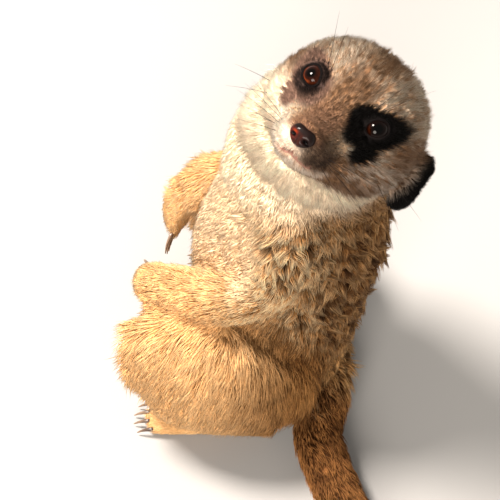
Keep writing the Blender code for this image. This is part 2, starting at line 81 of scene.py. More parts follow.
# ---------------------------------------------------------------- skin
SKIN_GRAIN = 1.35              # size of the skin's faces
FLESH_SWELL = 0.25             # closes the thin cuts between the flesh nodes
SKIN_SMOOTHING = 5
FACE_REACH = 23.0              # the skin is finer this near to the middle of the muzzle
LID_REACH = 9.5                # and finest this near to an eye or the nose
FLOOR_CLEARANCE = 0.15

# ---------------------------------------------------------------- head, in its own axes
NOSE_DROP = math.radians(16.9)               # how far the nose lies below the eyes' level
EYE_BALL = 5.15
CORNEA_RISE = 0.3
GAZE = (0.3, 0.86, 0.42)                     # outwards, forwards, up
LID_SLANT = math.radians(44.0)               # inner corner low, outer corner high
LID_OPENING = math.radians(38.0)
LID_CORNER = math.radians(17.0)
LID_THICKNESS = 0.75
LID_BARE = 6.0                               # degrees of lid without hair
LID_LEAVES_BALL = (6.0, 34.0)                # degrees past the lid's edge
LID_ROLLS_IN = (-5.0, 2.5)
LID_TUCK = 0.9                 # how far inside the ball the skin ends
LID_FADE = 1.2                 # and over which distance the lid gives way to the plain skin
PATCH_SLANT = math.radians(24.0)
NOSE_SIZE = (5.3, 4.5, 4.3)                  # half width, half length, half height
NOSE_SHIFT = (0.0, 0.4, -2.5)                # from the middle of the frame's nose
MOUTH_LINE = ((0.0, 27.0, -17.6), (5.0, 24.0, -19.2), (9.5, 17.5, -21.0), (12.5, 12.0, -21.6),
              (15.0, 7.5, -21.0))
MOUTH_STEP = 0.35              # distance between the points that the line is laid out with
MOUTH_DEPTH = 1.1
MOUTH_WIDTH = 0.6
LIP_GAP = 1.3                  # from the mouth's line to the top of a lip's swelling
LIP_SWELL = (0.7, 0.25)        # its width and height
LIP_WIDTHS = (0.4, 1.2)        # bare lip at the corners and at the front
EYE_ASIDE = 15.1               # from the point between the eyes to the middle of a lid
LID_MIDDLE = (EYE_ASIDE, 1.5, 1.0)
MUZZLE_TIP = (0.0, 27.0, -11.0)
HAIR_PARTING = (0.0, 31.0, -11.5)            # the hair of the face lies away from here
WELD_GAP = 0.00001             # metres within which a frame node's loose corners are merged


# ================================================================ small helpers
def paint(red, green, blue):
    """A display colour from 0 to 255 as linear light."""
    shares = np.array((red, green, blue)) / 255.0
    return np.where(shares > 0.04045, ((shares + 0.055) / 1.055) ** 2.4, shares / 12.92)


def ramp(values, low, high):
    """0 below low, 1 above high and smooth between; low may be the larger."""
    share = np.clip((values - low) / (high - low), 0.0, 1.0)
    return share * share * (3.0 - 2.0 * share)


def unit(vectors):
    lengths = np.linalg.norm(vectors, axis=-1, keepdims=True)
    return vectors / np.maximum(lengths, 1e-9)


def mix(first, second, share):
    """From first to second by share; rows of three take one share for each row."""
    in_rows = 3 in (*np.shape(first)[-1:], *np.shape(second)[-1:])
    share = np.asarray(share)[..., None] if in_rows else share
    return first * (1.0 - share) + second * share


def select_only(*objects):
    bpy.ops.object.select_all(action="DESELECT")
    for obj in objects:
        obj.select_set(True)
    bpy.context.view_layer.objects.active = objects[0]


def in_edit_mode(obj, *steps):
    """Runs the steps on all of the object's mesh, as by hand."""
    select_only(obj)
    bpy.ops.object.mode_set(mode="EDIT")
    bpy.ops.mesh.select_all(action="SELECT")
    for step in steps:
        step()
    bpy.ops.object.mode_set(mode="OBJECT")


def apply_modifier(obj, kind, **settings):
    select_only(obj)
    modifier = obj.modifiers.new(kind.lower(), kind)
    for name, value in settings.items():
        setattr(modifier, name, value)
    bpy.ops.object.modifier_apply(modifier=modifier.name)


def new_object(name, mesh):
    obj = bpy.data.objects.new(name, mesh)
    bpy.context.scene.collection.objects.link(obj)
    return obj


def read_rows(collection, attribute, width, kind=np.float32):
    """An attribute of all points, edges or loops, one row for each."""
    flat = np.empty(len(collection) * width, kind)
    collection.foreach_get(attribute, flat)
    return flat.reshape(-1, width)


def points_of(mesh):
    return read_rows(mesh.vertices, "co", 3).astype(float)


def normals_of(mesh):
    return read_rows(mesh.vertices, "normal", 3).astype(float)


def move_points(mesh, points):
    mesh.vertices.foreach_set("co", points.astype(np.float32).ravel())
    mesh.update()


def edges_of(mesh):
    return read_rows(mesh.edges, "vertices", 2, np.int32)


def relax(values, edges, passes):
    """Each point's value drawn towards the mean of its neighbours."""
    count = len(values)
    both = np.concatenate((edges, edges[:, ::-1]))
    share = np.bincount(both[:, 0], minlength=count)
    share = np.maximum(share, 1)
    columns = values.reshape(count, -1).astype(float)
    for _ in range(passes):
        mean = np.stack([
            np.bincount(both[:, 0], weights=column[both[:, 1]], minlength=count) / share
            for column in columns.T
        ], axis=1)
        columns = columns * 0.4 + mean * 0.6
    return columns.reshape(values.shape)


def set_colours(mesh, name, colours):
    attribute = mesh.color_attributes.new(name, "FLOAT_COLOR", "POINT")
    full = np.concatenate((colours, np.ones((len(colours), 1))), axis=1)
    attribute.data.foreach_set("color", full.astype(np.float32).ravel())


def set_values(mesh, name, values):
    attribute = mesh.attributes.new(name, "FLOAT", "POINT")
    attribute.data.foreach_set("value", values.astype(np.float32).ravel())


def middle_of(node):
    low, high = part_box(node)
    return np.array((low + high) / 2.0)


# ================================================================ head axes
def head_axes():
    """The point midway between the eyes, and the head's left, forward and up directions."""
    left_eye = middle_of("eye_left")
    right_eye = middle_of("eye_right")
    origin = (left_eye + right_eye) / 2.0
    left = unit(left_eye - right_eye)
    to_nose = middle_of("nose") - origin
    to_nose = unit(to_nose - left * to_nose.dot(left))
    lift = np.cross(to_nose, left)
    forward = to_nose * math.cos(NOSE_DROP) + lift * math.sin(NOSE_DROP)
    up = lift * math.cos(NOSE_DROP) - to_nose * math.sin(NOSE_DROP)
    return origin, np.stack((left, forward, up))


HEAD_ORIGIN, HEAD_AXES = head_axes()


def to_head(points):
    """Left, forward and up in millimetres from the point between the eyes."""
    return (points - HEAD_ORIGIN) @ HEAD_AXES.T / MM


def from_head(places):
    return HEAD_ORIGIN + np.asarray(places, float) * MM @ HEAD_AXES


def nose_centre():
    return middle_of("nose") + np.array(NOSE_SHIFT) * MM @ HEAD_AXES


# ================================================================ markings
CREAM = paint(253, 236, 210)
DARK_BROWN = paint(66, 42, 24)
BLACK_BROWN = paint(9, 7, 6)
# the right eye's patch: lighter than the black left one, as painted light with a sheen
LIT_PATCH_TAUPE = paint(128, 100, 86)
LIP = paint(136, 100, 88)
BAND_SPACING = 15.0            # from band to band down the back
BLACK_TAIL = (0.67, 0.75)      # shares of the tail over which it turns black


class Markings:
    """Colours of a tuft's tip, middle and root at each point, and the share of dark tufts."""

    PARTS = ("tip", "middle", "root", "dark")

    def __init__(self, count, tip, middle, root, dark):
        self.tip, self.middle, self.root = (np.tile(tone, (count, 1)) for tone in (tip, middle, root))
        self.dark = np.full(count, dark)

    def lay(self, share, **tones):
        """Lays tones over some parts by a share; a pair is a tone and its strength."""
        for part, tone in tones.items():
            tone, strength = tone if isinstance(tone, tuple) else (tone, 1.0)
            setattr(self, part, mix(getattr(self, part), tone, share * strength))


def ellipse(across, height, centre, radii, slant):
    """Distance from the centre, 1 on an ellipse whose long axis leans up by slant."""
    x = across - centre[0]
    y = height - centre[1]
    along = x * math.cos(slant) + y * math.sin(slant)
    aside = y * math.cos(slant) - x * math.sin(slant)
    return np.hypot(along / radii[0], aside / radii[1])


def eye_patch(places):
    """1 in the dark patch round either eye, with its point that runs down the cheek."""
    across = np.abs(places[:, 0])
    forward, height = places[:, 1], places[:, 2]
    ring = ellipse(across, height, (15.4, -0.1), (9.7, 7.3), PATCH_SLANT)
    tear = ellipse(across, height, (17.0, -6.6), (7.0, 3.8), math.radians(88.0))
    brow = ellipse(places[:, 0], height, (9.8, 1.6), (6.0, 4.3), math.radians(24.0))
    shapes = (ramp(ring, 1.12, 0.9), ramp(tear, 1.2, 0.85), ramp(brow, 1.15, 0.9))
    return np.maximum.reduce(shapes) * ramp(forward, -14.0, -9.0)


def head_colours(places, mouth_gap):
    """The markings of the head: pale, with dark eye patches and a grizzled left cheek; the left side is
    darker also as painted shade, and the right eye's patch lighter as painted light.
    """
    left, forward, height = places.T
    across = np.abs(left)
    shade = ramp(left, -9.0, 11.0)                       # the left side is the more grizzled, and darker too as painted shade
    coat = Markings(len(places), paint(255, 242, 220), paint(206, 170, 134), paint(142, 106, 76), 0.28)

    crest = ellipse(across, forward, (0.0, -26.0), (9.0, 22.0), 0.0)
    crest = ramp(crest, 1.3, 0.5) * ramp(height, 0.0, 8.0)
    coat.lay(crest, tip=(paint(190, 150, 104), 0.7), middle=(DARK_BROWN, 0.6), dark=0.55)

    between = ellipse(left, height, (0.5, 1.5), (9.0, 10.5), 0.0)
    between = ramp(between, 1.3, 0.5) * ramp(forward, -12.0, -2.0)
    coat.lay(between, tip=(paint(160, 124, 92), 0.85), middle=(paint(74, 52, 36), 0.85), dark=0.5)

    cheekbone = ellipse(across, height, (27.5, -5.0), (9.0, 7.0), math.radians(40.0))
    cheekbone = ramp(cheekbone, 1.3, 0.5) * ramp(forward, 4.0, -6.0)
    coat.lay(cheekbone, tip=(paint(116, 76, 42), 0.85), middle=(DARK_BROWN * 0.6, 0.9))

    bridge = ramp(forward, 3.0, 12.0) * ramp(height, -16.0, -9.0) * ramp(across, 10.0, 5.0)
    coat.lay(bridge, tip=paint(186, 150, 124), middle=paint(136, 102, 80), dark=0.4)

    muzzle = ramp(forward, 4.0, 11.0) * ramp(height, -9.0, -14.0)
    coat.lay(muzzle,
             tip=mix(paint(255, 242, 226), paint(132, 108, 88), shade),
             middle=mix(paint(244, 220, 198), paint(62, 46, 35), shade),
             dark=mix(0.04, 0.45, shade))

    cheek = ramp(height, -3.0, -12.0) * ramp(forward, 14.0, 4.0)
    coat.lay(cheek,
             tip=(mix(CREAM, paint(255, 240, 224), shade), 1.0 - cheekbone * 0.7),
             middle=mix(paint(246, 224, 198), paint(104, 79, 58), shade),
             dark=mix(0.05, 0.36, shade))

    # painted shade: a dark band under the jaw on the left side
    shade_under_jaw = ramp(left, 3.0, 10.0) * ramp(height, -18.0, -21.5) * ramp(height, -30.0, -26.0)
    shade_under_jaw = shade_under_jaw * ramp(forward, -16.0, -6.0)
    coat.lay(shade_under_jaw, tip=(paint(104, 74, 48), 0.88), middle=(paint(48, 31, 20), 0.88))
    throat = ramp(height, -25.0, -30.0) * (1.0 - shade_under_jaw)
    coat.lay(throat, tip=CREAM, middle=paint(252, 234, 208), dark=0.03)
    pale_root = np.maximum(throat, np.maximum(cheek, muzzle) * (1.0 - shade))
    coat.lay(pale_root, root=paint(250, 228, 200))

    chin = ramp(mouth_gap, 5.5, 3.0) * ramp(height, -19.0, -21.0) * ramp(forward, 10.0, 16.0)
    coat.lay(chin, tip=paint(252, 242, 228), middle=paint(206, 182, 160), root=paint(168, 138, 116),
             dark=0.32)
    # partly painted shade: the hair by the back of the mouth's line is darkened, partly for the mouth's
    # own dark
    lip = ramp(mouth_gap, 3.2, 1.4) * ramp(forward, 20.0, 10.0)
    coat.lay(lip, tip=(paint(104, 78, 60), 0.7), middle=(paint(52, 36, 27), 0.8))
    # painted shade: the hair beside the nose on the left side of the muzzle is darkened
    shade_beside_nose = ellipse(left, height, (8.0, -14.5), (4.8, 7.4), 0.0)
    shade_beside_nose = ramp(shade_beside_nose, 1.35, 0.6) * ramp(forward, 12.0, 18.0)
    coat.lay(shade_beside_nose * 0.85, tip=paint(122, 98, 80), middle=paint(44, 31, 23),
             root=paint(30, 20, 14))
    from_nose = (places - to_head(nose_centre())) / np.array(NOSE_SIZE)
    nose_ring = ramp(np.linalg.norm(from_nose, axis=1), 1.9, 1.2) * ramp(from_nose[:, 2], -0.6, 0.4)
    coat.lay(nose_ring * 0.8, tip=paint(112, 82, 66), middle=paint(80, 56, 44))

    eye_gap = np.hypot(across - EYE_ASIDE, height)
    ringed = mix(LIT_PATCH_TAUPE, paint(30, 21, 18), ramp(eye_gap, 7.4, 5.6))
    # painted light: the right patch is taupe, the left one black
    patch = mix(ringed, BLACK_BROWN, ramp(left, -8.0, 4.0))
    coat.lay(eye_patch(places), tip=patch, middle=patch, root=patch, dark=0.0)
    return coat


def body_colours(points, normals):
    """The same for neck, trunk and shoulders, from pale front to banded back."""
    x, y, z = (points / MM).T
    coat = Markings(len(points), paint(255, 234, 192), paint(172, 120, 66), paint(48, 27, 12), 0.1)

    back = ramp(y + x * 0.15, -13.0, 11.0)
    coat.lay(back * 0.8, tip=paint(184, 134, 76), middle=paint(66, 37, 13))
    band = 0.5 + 0.5 * np.sin(2.0 * math.pi * (z + 3.0 * np.sin(x * 0.12)) / BAND_SPACING)
    band = ramp(band, 0.55, 0.9) * back * ramp(z, 160.0, 140.0) * ramp(z, 25.0, 45.0)
    coat.lay(band, tip=(paint(98, 64, 34), 0.7))

    front = ramp(-normals[:, 1], 0.1, 0.7) * ramp(y, -20.0, -32.0)
    coat.lay(front, tip=paint(250, 228, 198), middle=(paint(242, 212, 174), 0.9),
             root=paint(218, 180, 136), dark=0.04)

    bib_edge = 154.0 + 20.0 * ramp(y, -18.0, 8.0) + 7.0 * ramp(x, 10.0, 34.0)
    bib = ramp(z, bib_edge - 10.0, bib_edge + 12.0) * ramp(y - x * 0.3, 20.0, -10.0)
    coat.lay(bib, tip=CREAM, middle=paint(250, 228, 198), root=paint(226, 194, 156), dark=0.04)

    rump = ramp(z, 70.0, 40.0)
    coat.lay(rump, tip=(paint(232, 190, 134), 0.7), middle=(paint(160, 114, 66), 0.6))
    return coat


def limb_colours(points, normals):
    """Pale gold limbs and golden haunches, browner behind, which is partly painted shade."""
    x, y, _ = (points / MM).T
    coat = Markings(len(points), paint(240, 204, 156), paint(220, 170, 114), paint(208, 158, 102), 0.06)
    # partly painted shade: darker and browner towards the back
    behind = ramp(y, -52.0, -6.0)
    coat.lay(behind, tip=paint(174, 128, 76), middle=paint(106, 68, 33), root=paint(70, 44, 21),
             dark=0.26)
    inner = ramp(-normals[:, 0] * np.sign(x), 0.2, 0.8)
    coat.lay(inner, tip=(paint(246, 218, 178), 0.7))
    return coat


def tail_colours(tipward):
    """A tan tail with a black end, darker near the root, partly as painted shade."""
    # darker at the root end, partly painted shade
    coat = Markings(len(tipward), paint(150, 102, 56), paint(80, 47, 22), BLACK_BROWN, 0.25)
    coat.lay(ramp(tipward, 0.0, 0.5), tip=paint(162, 114, 66), middle=paint(104, 68, 38))
    coat.lay(ramp(tipward, *BLACK_TAIL), tip=BLACK_BROWN, middle=BLACK_BROWN, dark=0.0)
    coat.root = coat.middle * 0.6
    return coat


def coat_colours(points, normals, shares, tipward, mouth_gap):
    """Tip, middle, root and dark share at each point, from its shares of the body's regions."""
    ear = BLACK_BROWN * 0.55
    regions = {
        "head": head_colours(to_head(points), mouth_gap),
        "body": body_colours(points, normals),
        "limb": limb_colours(points, normals),
        "tail": tail_colours(tipward),
        "ear": Markings(len(points), ear, ear, ear, 0.0),
    }
    total = sum(shares.values())
    mixed = []
    for part in Markings.PARTS:
        rows = (...,) if part == "dark" else (..., None)
        mixed.append(sum(
            getattr(regions[region], part) * (share / total)[rows]
            for region, share in shares.items()
        ))
    return mixed


# ================================================================ materials
def material(name, roughness, **settings):
    """A Principled material and its nodes."""
    made = bpy.data.materials.new(name)
    made.use_nodes = True
    shader = made.node_tree.nodes["Principled BSDF"]
    shader.inputs["Roughness"].default_value = roughness
    for socket, value in settings.items():
        shader.inputs[socket.replace("_", " ")].default_value = value
    return made, made.node_tree.nodes, made.node_tree.links, shader


def noise(nodes, links, scale, detail=3.0, stretch=None):
    """Fractal noise on the piece's own coordinates, in features per metre."""
    place = nodes.new("ShaderNodeTexCoord").outputs["Object"]
    texture = nodes.new("ShaderNodeTexNoise")
    texture.inputs["Scale"].default_value = scale
    texture.inputs["Detail"].default_value = detail
    if stretch:
        mapping = nodes.new("ShaderNodeMapping")
        mapping.inputs["Scale"].default_value = stretch
        links.new(place, mapping.inputs["Vector"])
        place = mapping.outputs["Vector"]
    links.new(place, texture.inputs["Vector"])
    return texture.outputs["Fac"]


def value_of(nodes, attribute, output="Fac"):
    """What the piece's own attribute says at each point."""
    reader = nodes.new("ShaderNodeAttribute")
    reader.attribute_name = attribute
    return reader.outputs[output]


def varied(nodes, links, colour, strength, low, high):
    """The colour, darkened and lightened by a value from 0 to 1."""
    spread = nodes.new("ShaderNodeMapRange")
    spread.inputs["From Min"].default_value = 0.3
    spread.inputs["From Max"].default_value = 0.7
    spread.inputs["To Min"].default_value = low
    spread.inputs["To Max"].default_value = high
    links.new(strength, spread.inputs["Value"])
    scaled = nodes.new("ShaderNodeVectorMath")
    scaled.operation = "SCALE"
    links.new(colour, scaled.inputs[0])
    links.new(spread.outputs["Result"], scaled.inputs["Scale"])
    return scaled.outputs["Vector"]


def marked_material(name, roughness, grain, low, high, **settings):
    """A material in the colours of the markings, uneven between low and high by a noise."""
    made, nodes, links, shader = material(name, roughness, **settings)
    uneven = noise(nodes, links, *grain)
    colour = varied(nodes, links, value_of(nodes, "markings", "Color"), uneven, low, high)
    links.new(colour, shader.inputs["Base Color"])
    return made, nodes, links, shader


def add_bump(nodes, links, shader, height, strength, distance):
    bump = nodes.new("ShaderNodeBump")
    bump.inputs["Strength"].default_value = strength
    bump.inputs["Distance"].default_value = distance * MM
    links.new(height, bump.inputs["Height"])
    links.new(bump.outputs["Normal"], shader.inputs["Normal"])


def coat_material():
    """Dry hair, a little uneven from hair to hair."""
    return marked_material("coat_hair", 0.7, (900.0,), 0.86, 1.12, Specular_IOR_Level=0.08)[0]


def skin_material():
    """Downy skin under the coat, with a fine nap."""
    made, nodes, links, shader = marked_material("downy_skin", 0.7, (420.0, 5.0), 0.78, 1.1,
                                                 Specular_IOR_Level=0.03)
    add_bump(nodes, links, shader, noise(nodes, links, 1600.0, 4.0), 0.5, 0.35)
    return made


# from the middle of the pupil to the rim of the iris, each with its colour in linear light
EYE_RINGS = (
    (0.0, (0.0008, 0.0005, 0.0005)),
    (0.26, (0.001, 0.0006, 0.0005)),
    (0.4, (0.01, 0.0022, 0.001)),
    (0.6, (0.018, 0.0036, 0.0012)),
    (0.74, (0.027, 0.0052, 0.0017)),
    (0.84, (0.01, 0.003, 0.0016)),
    (0.94, (0.003, 0.002, 0.002)),
)
EYE_GLOW = (0.11, 0.02, 0.004)


def eye_material(word, tone):
    """A wet eye: black pupil, red-brown iris with fine rays, dark rim, and a painted amber glow on one
    side of the iris.
    """
    made, nodes, links, shader = material(f"wet_eye_{word}", 0.03, IOR=1.36, Specular_IOR_Level=0.2)
    stops = nodes.new("ShaderNodeValToRGB")
    elements = stops.color_ramp.elements
    while len(elements) < len(EYE_RINGS):
        elements.new(0.5)
    for element, (place, colour) in zip(elements, EYE_RINGS):
        element.position = place
        element.color = (*colour, 1.0)
    links.new(value_of(nodes, "from_pupil"), stops.inputs["Fac"])
    rays = noise(nodes, links, 1500.0, 2.0)
    iris = varied(nodes, links, stops.outputs["Color"], rays, tone * 0.6, tone * 1.4)
    # painted light: an amber glow on one side of the iris, as if light shone through it
    painted_glow = nodes.new("ShaderNodeMix")
    painted_glow.data_type = "RGBA"
    factor, dull, bright = (painted_glow.inputs[socket] for socket in (0, 6, 7))
    bright.default_value = (*(channel * tone for channel in EYE_GLOW), 1.0)
    links.new(value_of(nodes, "glow"), factor)
    links.new(iris, dull)
    links.new(painted_glow.outputs[2], shader.inputs["Base Color"])
    return made


def nose_material():
    """Moist bare skin: red-brown, black on top and in the nostrils, finely pebbled; the colours hold
    painted light and shade.
    """
    made, nodes, links, shader = marked_material(
        "moist_nose", 0.5, (700.0, 4.0), 0.7, 1.25,
        Coat_Weight=0.15, Coat_Roughness=0.1, Specular_IOR_Level=0.05,
    )
    pebbles = nodes.new("ShaderNodeTexVoronoi")
    pebbles.feature = "SMOOTH_F1"
    pebbles.inputs["Scale"].default_value = 3200.0
    place = nodes.new("ShaderNodeTexCoord")
    links.new(place.outputs["Object"], pebbles.inputs["Vector"])
    add_bump(nodes, links, shader, pebbles.outputs["Distance"], 0.35, 0.14)
    return made


def claw_material():
    """Dark brown horn, paler towards the tips, with faint lengthwise growth."""
    growth = (500.0, 3.0, (1.0, 1.0, 0.35))
    return marked_material("claw_horn", 0.34, growth, 0.75, 1.3, Coat_Weight=0.15)[0]


def whisker_material():
    return marked_material("whisker_hair", 0.6, (200.0,), 0.8, 1.2, Specular_IOR_Level=0.15)[0]


# ================================================================ skin
def joined_flesh():
    """Copies of the flesh nodes, with eyes and nose as fillers, swollen until they touch."""
    copies = []
    for node in (*FLESH, "eye_left", "eye_right", "nose"):
        copies.append(new_object(f"copy_{node}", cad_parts[node].data.copy()))
    select_only(*copies)
    bpy.ops.object.join()
    flesh = copies[0]
    in_edit_mode(
        flesh,
        lambda: bpy.ops.mesh.remove_doubles(threshold=WELD_GAP),
        lambda: bpy.ops.transform.shrink_fatten(value=FLESH_SWELL * MM),
    )
    return flesh


def refine(skin, centres, reach):
    """Halves the skin's faces near the given points and evens them out."""
    centres = np.asarray(centres)

    def select_near():
        bpy.ops.mesh.select_all(action="DESELECT")
        bpy.ops.object.mode_set(mode="OBJECT")
        points = points_of(skin.data)
        gaps = np.linalg.norm(points[:, None] - centres[None], axis=2).min(axis=1)
        near = gaps < reach * MM
        skin.data.vertices.foreach_set("select", near)
        skin.data.update()
        bpy.ops.object.mode_set(mode="EDIT")
        bpy.ops.mesh.select_mode(type="VERT")

    in_edit_mode(
        skin,
        select_near,
        lambda: bpy.ops.mesh.subdivide(number_cuts=1),
        lambda: bpy.ops.mesh.vertices_smooth(factor=0.5, repeat=2),
    )


def nearest_nodes(points):
    """Index into FLESH of the node that each point is nearest to."""
    corners, faces, owners = [], [], []
    for index, node in enumerate(FLESH):
        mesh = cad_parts[node].data
        start = len(corners)
        corners.extend(vert.co[:] for vert in mesh.vertices)
        for polygon in mesh.polygons:
            faces.append([start + corner for corner in polygon.vertices])
            owners.append(index)
    tree = BVHTree.FromPolygons(corners, faces)
    return np.array([owners[tree.find_nearest(Vector(point))[2]] for point in points])


def along_tail(points):
    """0 at the root of the tail and 1 at its end, and the tail's direction there."""
    joints = [middle_of(node) for node in TAIL]
    joints = np.array([joints[0] * 2.0 - joints[1], *joints, joints[-1] * 2.0 - joints[-2]])
    best = np.full(len(points), 1e9)
    share = np.zeros(len(points))
    heading = np.zeros((len(points), 3))
    for index, (start, end) in enumerate(zip(joints, joints[1:])):
        span = end - start
        along = np.clip((points - start) @ span / span.dot(span), 0.0, 1.0)
        gap = np.linalg.norm(points - start - along[:, None] * span, axis=1)
        nearer = gap < best
        best[nearer] = gap[nearer]
        share[nearer] = (index + along[nearer]) / (len(joints) - 1)
        heading[nearer] = unit(span)
    return share, heading


# depth of coat, tuft length, thickness, lift in degrees, tufts per square mm, gap from lock to
# lock, and the share by which the tufts of a lock are drawn to its point
COATS = {
    "head": (2.6, 6.5, 0.32, 21.0, 6.2, 1.7, 0.7),
    "neck": (4.6, 12.5, 0.44, 20.0, 2.6, 3.0, 0.6),
    "chest": (5.4, 11.5, 0.42, 36.0, 2.7, 2.8, 1.0),
    "belly": (5.4, 11.5, 0.45, 34.0, 2.2, 3.1, 0.98),
    "pelvis": (4.6, 12.0, 0.55, 27.0, 1.35, 3.8, 0.78),
    "upper_arm": (4.2, 10.0, 0.41, 33.0, 2.6, 2.7, 0.97),
    "forearm": (2.6, 7.5, 0.42, 16.0, 2.3, 2.4, 0.4),
    "forepaw": (0.9, 3.0, 0.34, 12.0, 3.2, 1.4, 0.2),
    "thigh": (4.6, 12.5, 0.47, 18.0, 1.75, 3.0, 0.38),
    "shank": (2.6, 7.5, 0.46, 18.0, 1.7, 2.8, 0.4),
    "hind_foot": (0.9, 3.0, 0.36, 12.0, 2.6, 1.5, 0.2),
    "tail": (2.4, 7.5, 0.5, 14.0, 1.55, 2.4, 0.45),
    "ear": (0.4, 1.8, 0.3, 16.0, 5.0, 1.2, 0.1),
}
LOCK_TAPER = 0.45              # how much shorter the tufts at the rim of a lock are
LOCK_SHADE = 0.8               # and how far they take the colour of the roots, partly as painted shade between locks
# what a tuft has of its field's value: the least share, and how much chance may add
LENGTH_SPREAD = (0.72, 0.5)
LIFT_SPREAD = (0.55, 0.9)
THICK_SPREAD = (0.8, 0.4)
HOLD_SPREAD = (0.86, 0.14)
HAIR_TONES = 0.07              # how much lighter or darker tufts are, each by itself
LOCK_TONES = 0.1               # and each lock
TONE_RANGE = (0.65, 1.3)
DARK_EDGE = 0.08               # how softly the dark tufts are told from the pale ones
GOLDEN_FOREARM = (-28.0, -46.0)              # where the trunk's colours give way to gold
TRUNK_MIDDLE = -14.0           # the coat parts here, forwards and backwards down the sides
COAT_FIELDS = ("depth", "length", "thick", "lift", "density", "clump", "pull")
REGIONS = ("head", "body", "limb", "tail", "ear")
COAT_BLEND = 36                # passes that even out the coat from node to node
MARKINGS_BLEND = 40            # the same for the colours
EAR_BLEND = 2                  # and for those of the ears, which end sharply


def stem_of(node):
    """The row of COATS for a node: its name without side or length of tail."""
    return next(stem for stem in COATS if node.startswith(stem))


def region_of(node):
    stem = stem_of(node)
    if stem in ("head", "tail", "ear"):
        return stem
    return "body" if stem in ("neck", "chest", "belly", "pelvis", "upper_arm") else "limb"


def flow_of(node, points, tail_heading):
    """Which way the coat lies on a node, before it is laid on the surface."""
    stem = stem_of(node)
    side = -1.0 if node.endswith("right") else 1.0
    down = np.tile(np.array((0.0, 0.0, -1.0)), (len(points), 1))
    if stem == "head":
        away = unit(points - from_head(HAIR_PARTING))
        return away + 0.25 * unit(points - from_head((0.0, 0.0, -14.0)))
    if stem == "tail":
        return tail_heading
    if stem == "ear":
        return unit(points - from_head((side * 22.0, -30.0, -16.0)))
    if stem in ("forearm", "forepaw"):
        elbow = middle_of(f"forearm_{'left' if side > 0 else 'right'}")
        paw = middle_of(f"forepaw_{'left' if side > 0 else 'right'}")
        return np.tile(unit(paw - elbow), (len(points), 1)) + 0.15 * down
    if stem == "hind_foot":
        return np.tile(np.array((0.0, -1.0, -0.1)), (len(points), 1))
    if stem == "shank":
        return np.tile(unit(np.array((0.0, 0.35, -1.0))), (len(points), 1))
    if stem == "thigh":
        return down + np.array((side * 0.25, -0.35, 0.0))
    parting = np.clip((points[:, 1] / MM - TRUNK_MIDDLE) / 36.0, -1.0, 1.0)
    return down + parting[:, None] * np.array((0.0, 0.55, 0.0))


class Fields:
    """What the skin says of the coat at each of its points."""

    def __init__(self, mesh):
        points = points_of(mesh)
        edges = edges_of(mesh)
        owners = nearest_nodes(points)
        self.tipward, tail_heading = along_tail(points)
        table = np.array([COATS[stem_of(node)] for node in FLESH])[owners]
        flow = np.zeros((len(points), 3))
        regions = np.zeros((len(points), len(REGIONS)))
        for index, node in enumerate(FLESH):
            here = owners == index
            flow[here] = unit(flow_of(node, points[here], tail_heading[here]))
            regions[here, REGIONS.index(region_of(node))] = 1.0
            if stem_of(node) == "forearm":
                grizzled = ramp(points[here, 1] / MM, *GOLDEN_FOREARM)
                regions[here, REGIONS.index("body")] = 1.0 - grizzled
                regions[here, REGIONS.index("limb")] = grizzled
        blend = relax(np.concatenate((table, flow), axis=1), edges, COAT_BLEND)
        for column, name in enumerate(COAT_FIELDS):
            setattr(self, name, blend[:, column])
        self.flow = blend[:, len(COAT_FIELDS):]
        ear = regions[:, REGIONS.index("ear")]
        soft = relax(regions, edges, MARKINGS_BLEND)
        crisp_ear = relax(ear, edges, EAR_BLEND)
        soft[:, REGIONS.index("ear")] = 0.0
        soft = unit_share(soft) * (1.0 - crisp_ear[:, None])
        soft[:, REGIONS.index("ear")] = crisp_ear
        self.shares = {name: soft[:, column] for column, name in enumerate(REGIONS)}
        self.owners = owners
        front = ramp(-normals_of(mesh)[:, 1], 0.35, 0.85) * self.shares["body"]
        self.draw(front, lift=20.0, pull=0.35)
        self.fit_to_head(points)

    def draw(self, share, **values):
        """Draws some of the fields to the given values, by share."""
        for name, value in values.items():
            setattr(self, name, mix(getattr(self, name), value, share))

    def fit_to_head(self, points):
        """Shorter, finer and denser hair towards the nose, the eyes and the mouth."""
        places = to_head(points)
        on_head = self.shares["head"]
        nose_gap = np.linalg.norm(places - np.array(MUZZLE_TIP), axis=1)
        eye_gap = np.linalg.norm(np.abs(places * (1, 0, 0)) + places * (0, 1, 1)
                                 - np.array(LID_MIDDLE), axis=1)
        muzzle = ramp(nose_gap, 44.0, 8.0) * on_head
        lids = ramp(eye_gap, 17.0, 6.0) * on_head
        close = np.maximum(muzzle, lids * 0.85)
        self.draw(close, length=2.3, thick=0.27, lift=11.0, density=8.5, depth=0.75, pull=0.3,
                  clump=1.0)
        chin = ramp(places[:, 2], -18.5, -21.0) * ramp(places[:, 1], 6.0, 12.0) * on_head
        self.draw(chin, lift=50.0, length=3.2)
        behind = ramp(places[:, 1], -14.0, -34.0) * on_head
        self.draw(behind, length=8.5)
        beard = ramp(places[:, 2], -22.0, -30.0) * ramp(places[:, 1], 12.0, -4.0) * on_head
        self.draw(beard, length=10.5)
        self.draw(np.maximum(beard, behind * 0.6), density=4.0)
        ruff = ramp(places[:, 1], 2.0, -10.0) * ramp(places[:, 1], -34.0, -24.0) * on_head
        ruff = ruff * ramp(np.abs(places[:, 0]), 20.0, 27.0) * ramp(places[:, 2], 0.0, -8.0)
        self.draw(ruff, lift=30.0)


def unit_share(columns):
    return columns / np.maximum(columns.sum(axis=1, keepdims=True), 1e-6)


